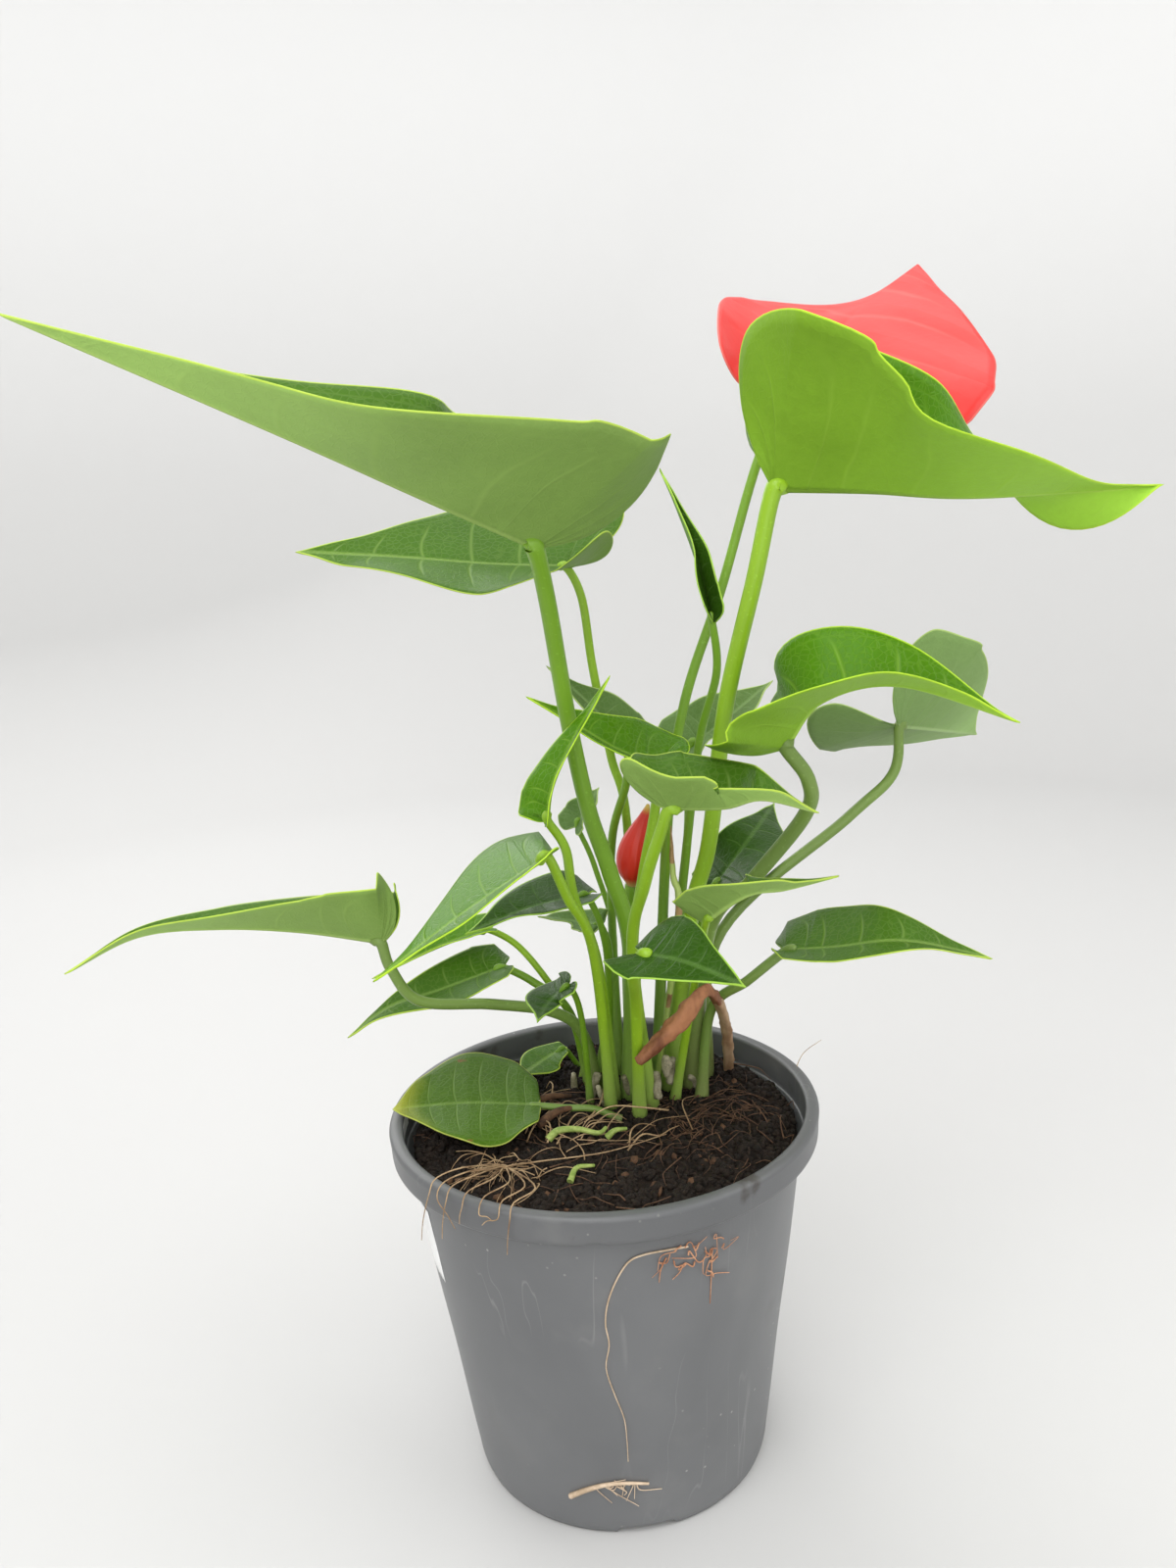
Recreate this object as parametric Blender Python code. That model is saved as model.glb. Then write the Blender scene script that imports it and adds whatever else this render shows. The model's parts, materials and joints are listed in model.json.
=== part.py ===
"""Potted anthurium: the plant's leaves, stems and flowers, the soil and the pot.

Metres, +Z up. The origin is the centre of the pot's flat base, the plant's
front faces -Y and its right is +X. Every dimension below is in millimetres or
degrees and is turned into metres where the meshes are made.
"""
import math
from dataclasses import dataclass

MM = 0.001

# ---------------------------------------------------------------- dimensions
RIM_RADIUS = 65.0          # outside of the pot's rim: a 13 cm nursery pot
POT_HEIGHT = 114.0
BAND_DEPTH = 8.5           # the rolled rim band's depth
BODY_RADIUS_TOP = 60.0     # the body just under the band
BODY_RADIUS_BASE = 45.7
POT_WALL = 1.3
POT_FLOOR = 2.0
SOIL_GAP = 0.35            # between the soil and the pot's inside
CROWN_X, CROWN_Y = 12.0, 22.0
CROWN_FLAT = 30.0          # the soil is level this far round the crown
SOIL_LEVEL = 107.0
STEM_START = SOIL_LEVEL + 0.4
BLADE_THICKNESS = 0.8

# Half outline of a heart-shaped blade, from the notch round to the tip:
# (along the midrib, across), as parts of the length (of the lobe when
# negative) and of the half width.
HEART = ((0.0, 0.0), (-0.62, 0.17), (-1.0, 0.45), (-0.80, 0.80), (0.03, 1.0), (0.17, 0.95),
         (0.36, 0.74), (0.55, 0.46), (0.73, 0.23), (0.88, 0.085), (1.0, 0.0))
SPATHE = ((0.0, 0.0), (-0.45, 0.20), (-0.85, 0.52), (-0.70, 0.86), (0.05, 1.0), (0.25, 0.96),
          (0.48, 0.78), (0.68, 0.52), (0.84, 0.27), (0.94, 0.11), (1.0, 0.0))


@dataclass(frozen=True)
class Half:
    """One half of a blade: half width, lobe length, fold angles and curl."""
    width: float
    lobe: float
    folds: tuple           # degrees above level at the lobe, a third along, and the tip
    curl: float = 0.0      # degrees the fold grows by from the midrib to the margin


@dataclass(frozen=True)
class Leaf:
    """A blade on its own stalk."""
    midrib: tuple          # points from the stalk's end to the tip
    left: Half
    right: Half
    rise: float            # how far the lobes lift behind the stalk
    base: tuple            # where the stalk leaves the soil (x, y)
    stalk: tuple           # points the stalk passes through on its way up
    girth: tuple           # stalk radius at the soil and at the blade
    detail: int = 0


LEAVES = {
    "01": Leaf(((-8, -45, 283), (-32, -62, 296), (-63, -64, 312), (-119, -69, 340)),
               Half(42, 27, (51, 24, 52), 5), Half(35, 30, (45, 50, 25), 5), 25,
               (9, 16), ((11, 0, 162), (6, -8, 189), (1, -13, 209), (-3, -18, 236), (-6, -34, 268)), (2.5, 2.1), 1),
    "02": Leaf(((-1, 30, 274), (-24, 32, 276), (-53, 31, 280), (-84, 40, 283)),
               Half(34, 16, (18, -15, -25)), Half(40, 19, (42, 38, 48)), 15,
               (11, 34), ((13, 32, 190), (9, 32, 215), (5, 31, 243), (3, 30, 264)), (1.4, 1.2), 1),
    "03": Leaf(((54, -20, 293), (79, -20, 291), (107, -22, 288), (161, -9, 288)),
               Half(38, 3, (40, 78, -60), 5), Half(50, 6, (90, 32, 10), -16), -13,
               (22, 20), ((30, 12, 166), (36, 5, 192), (41, -8, 235), (49, -16, 270)), (2.5, 2.2), 1),
    "04": Leaf(((39, 0, 258), (37, 12, 273), (32, 20, 290), (28, 25, 301)),
               Half(9, 3, (66, 60, 45)), Half(8, 3, (74, 75, 60)), 15,
               (20, 30), ((31, 18, 192), (35, 9, 223), (40, 3, 243)), (1.4, 1.0)),
    "05": Leaf(((54, -30, 227), (63, -34, 239), (83, -35, 242), (113, -38, 231)),
               Half(25, 7, (5, 56, 62)), Half(27, 14, (27, 19, 38)), 37,
               (28.5, 20), ((35, 6, 164), (47, -8, 184), (60, -22, 206), (60, -28, 217)), (2.2, 1.9), 1),
    "06": Leaf(((99, 30, 219), (115, 46, 214), (137, 74, 206)),
               Half(30, 20, (-17, -20, -20)), Half(34, 20, (61, 50, 44)), 25,
               (34, 28), ((40, 25, 156), (82, 28, 191), (97, 30, 204)), (1.8, 1.5)),
    "07": Leaf(((22, -3, 218), (11, -3, 223), (0, -1, 230), (-15, 6, 239)),
               Half(11, 9, (3, 7, 20)), Half(17, 9, (25, 35, 36)), 22,
               (15, 20.5), ((12, 14, 154), (16, 6, 183), (20, 0, 203)), (1.7, 1.3)),
    "08": Leaf(((21, -50, 217), (35, -49, 216), (44, -55, 219), (59, -48, 213)),
               Half(20, 12, (25, 42, 60)), Half(14, 17, (47, 43, 33)), 30,
               (15, 8.5), ((11, -14, 166), (15, -33, 193), (19, -46, 210)), (1.8, 1.4)),
    "09": Leaf(((-10, -30, 211), (-8, -29, 220), (-2, -26, 231), (9, -19, 247)),
               Half(11, 2, (28, 14, 8)), Half(9, 2, (22, 26, 5)), 25,
               (4, 14.5), ((1, -8, 161), (-4.5, -20, 186), (-5.8, -27.5, 202)), (1.5, 1.1)),
    "10": Leaf(((14, 20, 219), (4, 21, 232), (-9, 26, 245)),
               Half(12, 6, (0, 0, 0)), Half(14, 6, (28, 40, 30)), 0,
               (6, 33), ((6.5, 38, 160), (8, 30, 189), (13, 24, 207)), (1.4, 1.2)),
    "11": Leaf(((35, 45, 213), (49, 49, 222), (66, 68, 230)),
               Half(16, 7, (29, 38, 34)), Half(13, 7, (0, 8, 0)), 0,
               (25, 40), ((29, 42, 156), (33, 44, 185)), (1.5, 1.3)),
    "12": Leaf(((-61, -10, 173), (-84, -8, 177), (-105, -16, 182), (-128, -16, 181), (-148, -21, 173)),
               Half(23, 11, (82, 38, 40), 3), Half(17, 10, (60, 24, 43)), 48,
               (-1.5, 19.5), ((-5, 16, 129), (-14, 12, 139), (-32, 4, 146), (-52, -5, 152), (-59, -9, 164)), (1.8, 1.5), 1),
    "13": Leaf(((-10, -49, 206.5), (-33, -52, 193), (-56, -55, 178)),
               Half(12, 4, (18, 4, -20), 5), Half(33, 0.4, (-16, 9, -6), -5), 0,
               (2.5, 8.5), ((0, -18, 168), (-6, -36, 191)), (1.5, 1.2), 1),
    "14": Leaf(((-1, 0, 180), (-18, -3, 178), (-36, -17, 176)),
               Half(10, 4, (10, 0, -4)), Half(17, 4, (-15, 20, 18)), 0,
               (2, 20.5), ((4, 10, 149), (3, 4, 167)), (1.2, 0.9)),
    "15": Leaf(((3, 30, 160), (-8, 34, 161), (-17, 22, 167)),
               Half(8, 0.6, (5, -2, -14)), Half(7, 0.6, (27, 28, 16)), 15,
               (-1, 31.5), ((5, 31, 146),), (1.0, 0.8)),
    "16": Leaf(((-29, 22, 151), (-49, 18, 146), (-64, 12, 144), (-78, 11, 135)),
               Half(16, 3, (15, -5, -25), 5), Half(13, 3, (-5, 33, 12)), 0,
               (-4, 26.5), ((-9, 23, 134), (-20, 23, 145)), (1.4, 1.1)),
    "17": Leaf(((-33, 30, 161), (-49, 28, 157), (-71, 24, 149)),
               Half(9, 2.5, (5, 18, 3)), Half(9, 2.5, (4, 26, 16)), 0,
               (-6, 33), ((-5, 32, 120), (-14, 31, 139), (-24, 31, 154)), (1.2, 1.0)),
    "18": Leaf(((-8, -10, 156), (-14, -12, 152), (-17, -26, 152)),
               Half(6, 2.5, (6, -4, 0)), Half(10, 2.5, (0, 12, 18), -8), 5,
               (-4, 13), ((-5, -2, 143),), (1.0, 0.8)),
    "19": Leaf(((12, -60, 183), (22, -68, 183), (31, -75, 181), (35, -81, 181)),
               Half(15, 6, (16, 34, 36), -10), Half(12, 6, (14, -14, -6)), -22,
               (11, 3), ((11, -20, 152), (10, -48, 173)), (1.7, 1.4)),
    "20": Leaf(((31, -30, 180), (41, -43, 191), (52, -37, 190), (69, -22, 188)),
               Half(12, 6, (20, 20, 20)), Half(11, 6, (42, 40, 22), 5), 38,
               (22.5, 12), ((30, -6, 157),), (1.3, 1.0)),
    "21": Leaf(((57, 0, 159), (71, -3, 160), (91, -7, 162), (120, 3, 151)),
               Half(21, 3.5, (-5, 30, 62), -8), Half(13, 3.5, (22, -5, 0), 5), 0,
               (31, 12.5), ((35, 10, 137), (46, 3, 149)), (1.6, 1.4)),
    "22": Leaf(((40, 35, 169), (53, 41, 183), (65, 66, 188)),
               Half(14, 2.5, (-12, 24, 22), -8), Half(20, 2.5, (34, -10, 0), 5), 8,
               (29, 36), ((34, 36, 151),), (1.6, 1.3)),
    "23": Leaf(((-20, 2, 113), (-42, 1, 115.5), (-64, -2, 116.5)),
               Half(28, 2.5, (5, -4, 0)), Half(30, 2.5, (0, 8, 12)), 0,
               (5, 2.5), ((-3, 2, 110.5), (-12, 2, 111.5)), (1.1, 1.0)),
    "24": Leaf(((-12, 37, 115.5), (-19, 34, 113), (-26, 24, 112.5)),
               Half(8, 2, (12, -6, 0)), Half(7, 2, (5, 14, 0)), 0,
               (-7, 40), (), (0.9, 0.8)),
    "25": Leaf(((-3, 44, 190), (1, 46, 196), (5, 54, 200)),
               Half(9, 3, (16, 30, 25)), Half(6, 3, (0, 10, 0)), 0,
               (0, 45), ((7, 46, 147), (2, 45, 175)), (1.0, 0.8)),
}
# The open flower's spathe, its spadix and the stem that holds them.
SPATHE_LINE = ((70, 31, 322), (82, 40, 335), (93, 49, 345), (115, 66, 359))
SPATHE_HALVES = (Half(33, 22, (95, 30, -42), 5), Half(56, 20, (-9, -9, -25), -25))
SPATHE_RISE = 0
PEDUNCLE = ((18, 25.5, STEM_START), (25, 26, 190), (32, 26, 230), (45, 27, 265), (58, 29, 303), (69, 30.4, 320))
PEDUNCLE_GIRTH = (1.7, 1.5, 1.4)
SPADIX = ((74, 26, 326), (74, 24.5, 330.5), (74, 23, 335))
SPADIX_GIRTH = (2.6, 3.2, 3.0, 1.6)
# The furled second flower and its stalk.
BUD = ((13, 15, 177.5), (15, 14, 190), (19, 13, 203))
BUD_GIRTH = (1.8, 4.6, 5.4, 5.0, 3.6, 1.9, 0.5)
BUD_STALK = ((10, 26, STEM_START), (11, 19, 150), (12.6, 15.6, 176))
BUD_STALK_GIRTH = (2.2, 2.6, 1.8)
# A papery sheath left beside the stalks and a dead, bent leaf stalk.
SHEATH = ((16.5, 14.5, STEM_START), (26, 7, 168), (25, 6, 183), (25, 5, 198))
SHEATH_GIRTH = (1.4, 1.9, 1.2, 0.4)
DEAD_STALK = ((42, 31, STEM_START), (39, 8, 135), (32, -8, 151), (23, -12, 143), (11, -15, 133))
DEAD_GIRTH = (1.8, 1.7, 1.5, 1.7, 0.8)
# ------------------------------------------------------------- curve helpers


def spline(points, count):
    """Catmull-Rom curve through the points at `count` even parameter steps."""
    pts = [tuple(float(v) for v in p) for p in points]
    first = tuple(2 * a - b for a, b in zip(pts[0], pts[1]))
    last = tuple(2 * a - b for a, b in zip(pts[-1], pts[-2]))
    full = [first, *pts, last]
    spans = len(pts) - 1
    out = []
    for step in range(count):
        t = spans * step / (count - 1)
        i = min(int(t), spans - 1)
        u = t - i
        out.append(tuple(
            0.5 * (2 * b + (c - a) * u + (2 * a - 5 * b + 4 * c - d) * u * u + (3 * b - a - 3 * c + d) * u ** 3)
            for a, b, c, d in zip(*full[i:i + 4])))
    return out


def lengths(points):
    """Running length along a chain of points."""
    run = [0.0]
    for a, b in zip(points, points[1:]):
        run.append(run[-1] + math.dist(a, b))
    return run


def along(points, run, s):
    """The point a length `s` along the chain."""
    if s <= 0:
        return points[0]
    for i in range(1, len(run)):
        if s <= run[i] or i == len(run) - 1:
            u = min(1.0, (s - run[i - 1]) / max(run[i] - run[i - 1], 1e-9))
            return tuple(a + (b - a) * u for a, b in zip(points[i - 1], points[i]))
    return points[-1]


def unit(v):
    size = math.sqrt(sum(c * c for c in v)) or 1.0
    return tuple(c / size for c in v)


def cross(a, b):
    return (a[1] * b[2] - a[2] * b[1], a[2] * b[0] - a[0] * b[2], a[0] * b[1] - a[1] * b[0])


def through_three(x, xs, ys):
    """Quadratic through three points."""
    a, b, c = xs
    return (ys[0] * (x - b) * (x - c) / ((a - b) * (a - c)) + ys[1] * (x - a) * (x - c) / ((b - a) * (b - c))
            + ys[2] * (x - a) * (x - b) / ((c - a) * (c - b)))


class Blade:
    """The middle surface of a folded, curved heart-shaped blade (mm)."""

    def __init__(self, midrib, left, right, rise, outline=HEART):
        self.line = spline(midrib, 61)
        self.run = lengths(self.line)
        self.length = self.run[-1]
        self.left, self.right, self.rise = left, right, rise
        self.outline = outline

    def heading(self, s):
        """Yaw and pitch of the midrib a length `s` along."""
        step = self.length / 60
        a, b = along(self.line, self.run, s - step), along(self.line, self.run, s + step)
        if s <= step:
            a, b = self.line[0], along(self.line, self.run, step)
        d = tuple(q - p for p, q in zip(a, b))
        return math.atan2(d[1], d[0]), math.atan2(d[2], math.hypot(d[0], d[1]))

    def point(self, side, s, v):
        """Point on one half, `s` along the midrib (negative in the lobe), `v` across."""
        half = self.left if side > 0 else self.right
        back = min(1.0, max(0.0, -s / half.lobe))
        yaw, pitch = self.heading(max(s, 0.0))
        rise = math.radians(self.rise)
        line = pitch - rise * (0.4 + 0.6 * back)
        here = along(self.line, self.run, s)
        d = min(s, 0.0)
        here = (here[0] + d * math.cos(line) * math.cos(yaw), here[1] + d * math.cos(line) * math.sin(yaw),
                here[2] + d * math.sin(line))
        tilt = pitch - rise * back * 0.7
        ahead = (math.cos(tilt) * math.cos(yaw), math.cos(tilt) * math.sin(yaw), math.sin(tilt))
        out = (-math.sin(yaw), math.cos(yaw), 0.0)
        up = cross(ahead, out)
        station = -0.25 * back if s < 0 else min(1.0, s / self.length)
        fold = math.radians(through_three(station, (-0.25, 0.35, 1.0), half.folds))
        curl = math.radians(half.curl) + 1e-6
        part = v / half.width
        flat = half.width / curl * (math.sin(fold + curl * part) - math.sin(fold)) * side
        lift = -half.width / curl * (math.cos(fold + curl * part) - math.cos(fold))
        return tuple(h + flat * o + lift * u for h, o, u in zip(here, out, up))

    def mesh(self, rows, cols):
        """Vertices and faces of the middle surface, both halves joined at the midrib."""
        margin = spline(self.outline, rows)
        verts, faces = [self.line[0]], []
        tip = len(verts)
        verts.append(self.line[-1])
        rib = {}
        for side in (1, -1):
            half = self.left if side > 0 else self.right
            index = []
            for i, (a, b) in enumerate(margin):
                if i == 0:
                    index.append([0] * cols)
                    continue
                if i == rows - 1:
                    index.append([tip] * cols)
                    continue
                s = a * half.lobe if a < 0 else a * self.length
                v = b * half.width
                start = self.length * max(0.0, s / self.length) ** 1.25 if s > 0 else 0.0
                row = []
                for j in range(cols):
                    u = j / (cols - 1)
                    if j == 0:
                        if start <= 0:
                            row.append(0)
                            continue
                        if i not in rib:
                            rib[i] = len(verts)
                            verts.append(along(self.line, self.run, start))
                        row.append(rib[i])
                        continue
                    row.append(len(verts))
                    verts.append(self.point(side, start + (s - start) * u, v * u))
                index.append(row)
            for i in range(rows - 1):
                for j in range(cols - 1):
                    ring = [index[i][j], index[i + 1][j], index[i + 1][j + 1], index[i][j + 1]]
                    face = [q for n, q in enumerate(ring) if q != ring[n - 1]]
                    if len(set(face)) >= 3:
                        faces.append(face if side < 0 else face[::-1])
        return verts, faces


def normals(verts, faces):
    """Vertex normals, weighted by face area."""
    sums = [(0.0, 0.0, 0.0)] * len(verts)
    for face in faces:
        for i in range(1, len(face) - 1):
            a, b, c = (verts[face[k]] for k in (0, i, i + 1))
            n = cross(tuple(q - p for p, q in zip(a, b)), tuple(q - p for p, q in zip(a, c)))
            for k in (0, i, i + 1):
                sums[face[k]] = tuple(p + q for p, q in zip(sums[face[k]], n))
    return [unit(n) for n in sums]


def thicken(verts, faces, thickness):
    """Closed shell of even thickness about a middle surface."""
    around = normals(verts, faces)
    half = thickness / 2
    top = [tuple(p + half * n for p, n in zip(v, m)) for v, m in zip(verts, around)]
    low = [tuple(p - half * n for p, n in zip(v, m)) for v, m in zip(verts, around)]
    count = len(verts)
    out = [list(f) for f in faces] + [[i + count for i in reversed(f)] for f in faces]
    edges = {}
    for face in faces:
        for a, b in zip(face, face[1:] + face[:1]):
            edges[(a, b)] = edges.get((a, b), 0) + 1
    for (a, b) in edges:
        if (b, a) not in edges:
            out.append([b, a, a + count, b + count])
    return top + low, out


def tube(points, radii, sides=6, steps=None):
    """Round rod through the points; the radii run evenly from first to last."""
    steps = steps or max(4, 2 * len(points) + 1)
    line = spline(points, steps) if len(points) > 1 else list(points)
    verts, faces = [], []
    ref = (0.0, 1.0, 0.0)
    for k, p in enumerate(line):
        a, b = line[max(k - 1, 0)], line[min(k + 1, steps - 1)]
        t = unit(tuple(q - w for w, q in zip(a, b)))
        if k == 0 and t[2] > 0.3:
            t = (0.0, 0.0, 1.0)          # cut level where it leaves the soil
        dot = sum(p * q for p, q in zip(ref, t))
        ref = unit(tuple(r - dot * q for r, q in zip(ref, t)))
        side = cross(t, ref)
        f = k / (steps - 1) * (len(radii) - 1)
        i = min(int(f), len(radii) - 2)
        radius = radii[i] + (radii[i + 1] - radii[i]) * (f - i)
        for n in range(sides):
            w = 2 * math.pi * n / sides
            verts.append(tuple(c + radius * (math.cos(w) * r + math.sin(w) * s) for c, r, s in zip(p, ref, side)))
    for k in range(steps - 1):
        for n in range(sides):
            m = (n + 1) % sides
            faces.append([k * sides + n, k * sides + m, (k + 1) * sides + m, (k + 1) * sides + n])
    faces.append(list(range(sides))[::-1])
    faces.append([(steps - 1) * sides + n for n in range(sides)])
    return verts, faces
# --------------------------------------------------------------------- build
import bpy


def add(name, verts, faces):
    """Make one closed object from millimetre vertices, faces turned outward."""
    mesh = bpy.data.meshes.new(name)
    mesh.from_pydata([tuple(c * MM for c in v) for v in verts], [], faces)
    mesh.validate()
    mesh.update()
    volume = 0.0
    for poly in mesh.polygons:
        ring = [mesh.vertices[i].co for i in poly.vertices]
        for i in range(1, len(ring) - 1):
            volume += ring[0].dot(ring[i].cross(ring[i + 1]))
    if volume < 0:
        mesh.flip_normals()
    obj = bpy.data.objects.new(name, mesh)
    bpy.context.scene.collection.objects.link(obj)
    return obj


def turned(profile, sides):
    """Revolve an open profile of (radius, height) whose ends lie on the axis."""
    verts, faces, rings = [], [], []
    for r, z in profile:
        if r == 0:
            rings.append([len(verts)] * sides)
            verts.append((0.0, 0.0, z))
            continue
        rings.append(list(range(len(verts), len(verts) + sides)))
        for n in range(sides):
            w = 2 * math.pi * n / sides
            verts.append((r * math.cos(w), r * math.sin(w), z))
    for a, b in zip(rings, rings[1:]):
        for n in range(sides):
            m = (n + 1) % sides
            ring = [a[n], a[m], b[m], b[n]]
            face = [q for i, q in enumerate(ring) if q != ring[i - 1]]
            if len(face) >= 3:
                faces.append(face)
    return verts, faces


def soil_height(x, y):
    """Top of the soil, level round the crown and lumpy outside it."""
    away = math.hypot(x - CROWN_X, y - CROWN_Y)
    lump = (math.sin(0.31 * x + 1.3) * math.cos(0.27 * y - 0.6) + 0.6 * math.sin(0.55 * x - 0.48 * y)) * 0.8
    blend = min(1.0, max(0.0, (away - CROWN_FLAT) / 10.0))
    return SOIL_LEVEL + lump * blend


for item in list(bpy.data.objects):
    bpy.data.objects.remove(item, do_unlink=True)

# the pot: a flat-bottomed tapered cup with a rolled rim band
step_z = POT_HEIGHT - BAND_DEPTH
profile = [(0, 0), (BODY_RADIUS_BASE - 0.8, 0), (BODY_RADIUS_BASE, 2.4), (BODY_RADIUS_TOP, step_z),
           (RIM_RADIUS - 0.5, step_z), (RIM_RADIUS, POT_HEIGHT), (RIM_RADIUS - 4.1, POT_HEIGHT),
           (RIM_RADIUS - 4.1, step_z), (BODY_RADIUS_TOP - POT_WALL, step_z - 1.5),
           (BODY_RADIUS_BASE - POT_WALL, POT_FLOOR), (0, POT_FLOOR)]
verts, faces = turned(profile, 32)
add("pot", verts, faces)

# the soil: fills the pot with a clearance to its wall
low = BODY_RADIUS_BASE - POT_WALL - SOIL_GAP - 0.3
high = BODY_RADIUS_TOP - POT_WALL - SOIL_GAP - 0.4
rings = [0, 10, 22, 32, 41, 49, 55, high]
soil = [(0, POT_FLOOR + SOIL_GAP + 0.6), (low, POT_FLOOR + SOIL_GAP + 0.6), (high, SOIL_LEVEL - 4.0)]
verts, faces = turned(soil + [(r, SOIL_LEVEL) for r in reversed(rings)], 32)
verts = [(x, y, soil_height(x, y)) if z == SOIL_LEVEL else (x, y, z) for x, y, z in verts]
add("soil", verts, faces)

# every leaf: the blade and the stalk under it
for key, leaf in LEAVES.items():
    blade = Blade(leaf.midrib, leaf.left, leaf.right, leaf.rise)
    rows, cols = (19, 4) if leaf.detail else (13, 3)
    verts, faces = blade.mesh(rows, cols)
    add("leaf_" + key, *thicken(verts, faces, BLADE_THICKNESS))
    end = leaf.midrib[0]
    before = leaf.stalk[-1] if leaf.stalk else (*leaf.base, STEM_START)
    span = math.dist(end, before)
    stop = tuple(e + (b - e) * 2.0 / span for e, b in zip(end, before))
    path = [(*leaf.base, STEM_START), *leaf.stalk, stop]
    add("stalk_" + key, *tube(path, leaf.girth))

# the open flower
spathe = Blade(SPATHE_LINE, *SPATHE_HALVES, SPATHE_RISE, SPATHE)
add("spathe", *thicken(*spathe.mesh(21, 4), 1.0))
add("peduncle", *tube(PEDUNCLE, PEDUNCLE_GIRTH, 6, 13))
add("spadix", *tube(SPADIX, SPADIX_GIRTH, 10, 8))

# the furled flower, the sheath and the dead stalk
add("bud_spathe", *tube(BUD, BUD_GIRTH, 10, 9))
add("bud_stalk", *tube(BUD_STALK, BUD_STALK_GIRTH, 6, 9))
add("sheath", *tube(SHEATH, SHEATH_GIRTH, 6, 9))
add("dead_stalk", *tube(DEAD_STALK, DEAD_GIRTH, 6, 13))
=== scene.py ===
"""Looks of the potted anthurium: leaves, stalks, flowers, soil, roots and pot.

Everything is in the CAD part's frame: metres, +Z up, origin at the centre of
the pot's underside, the plant's front towards -Y. Shapes are worked out in
millimetres and degrees and turned into metres when a mesh is made.
"""

import json
import logging
import math
import random
from dataclasses import dataclass
from enum import Enum
from typing import Any, Callable, Iterable, Optional, Sequence

import bpy
import numpy as np
from mathutils import Matrix, Vector, noise

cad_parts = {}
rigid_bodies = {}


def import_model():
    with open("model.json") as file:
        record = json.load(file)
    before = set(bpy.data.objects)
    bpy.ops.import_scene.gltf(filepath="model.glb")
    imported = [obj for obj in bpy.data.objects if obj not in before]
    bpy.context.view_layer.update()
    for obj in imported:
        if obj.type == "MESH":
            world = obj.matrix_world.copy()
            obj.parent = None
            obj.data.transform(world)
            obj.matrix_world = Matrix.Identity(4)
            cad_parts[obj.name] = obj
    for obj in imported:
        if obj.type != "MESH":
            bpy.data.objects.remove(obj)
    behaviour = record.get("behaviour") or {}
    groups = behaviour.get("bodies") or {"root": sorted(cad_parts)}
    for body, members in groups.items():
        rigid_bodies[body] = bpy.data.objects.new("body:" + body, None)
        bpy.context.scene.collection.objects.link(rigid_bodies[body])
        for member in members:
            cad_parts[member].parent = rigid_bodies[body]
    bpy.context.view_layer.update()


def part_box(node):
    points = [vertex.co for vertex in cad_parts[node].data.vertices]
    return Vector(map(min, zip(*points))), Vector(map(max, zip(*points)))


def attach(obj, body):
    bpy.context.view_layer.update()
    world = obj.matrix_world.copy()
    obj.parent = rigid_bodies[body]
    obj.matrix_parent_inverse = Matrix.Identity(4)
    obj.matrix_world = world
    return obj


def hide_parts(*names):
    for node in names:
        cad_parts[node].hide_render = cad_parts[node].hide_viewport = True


MM = 0.001
LOG = logging.getLogger("anthurium")

Colour = tuple[float, float, float]
Point = tuple[float, float, float]


# ----------------------------------------------------------------- shader kit
class Value:
    """A shader socket that Python expressions can do arithmetic on."""

    def __init__(self, graph: "Graph", socket: Any) -> None:
        """Keep the graph and the output socket."""
        self.graph = graph
        self.socket = socket

    def math(self, operation: str, *others: Any) -> "Value":
        """Add a Math node whose first input is this value."""
        return self.graph.make("ShaderNodeMath", {"operation": operation},
                               {0: self, **{i + 1: o for i, o in enumerate(others)}})

    def __add__(self, other: Any) -> "Value":
        """Sum."""
        return self.math("ADD", other)

    __radd__ = __add__

    def __mul__(self, other: Any) -> "Value":
        """Product."""
        return self.math("MULTIPLY", other)

    __rmul__ = __mul__

    def __sub__(self, other: Any) -> "Value":
        """Difference."""
        return self.math("SUBTRACT", other)

    def __rsub__(self, other: Any) -> "Value":
        """Difference the other way round."""
        return self * -1.0 + other

    def step(self, low: float, high: float) -> "Value":
        """Smooth 0 to 1 ramp from low to high."""
        return self.graph.make("ShaderNodeMapRange", {"interpolation_type": "SMOOTHSTEP"},
                               {"Value": self, "From Min": low, "From Max": high})

    def wave(self) -> "Value":
        """0 at whole numbers, 1 half way between them."""
        return (self.math("FRACT") - 0.5).math("ABSOLUTE") * -2.0 + 1.0


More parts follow.
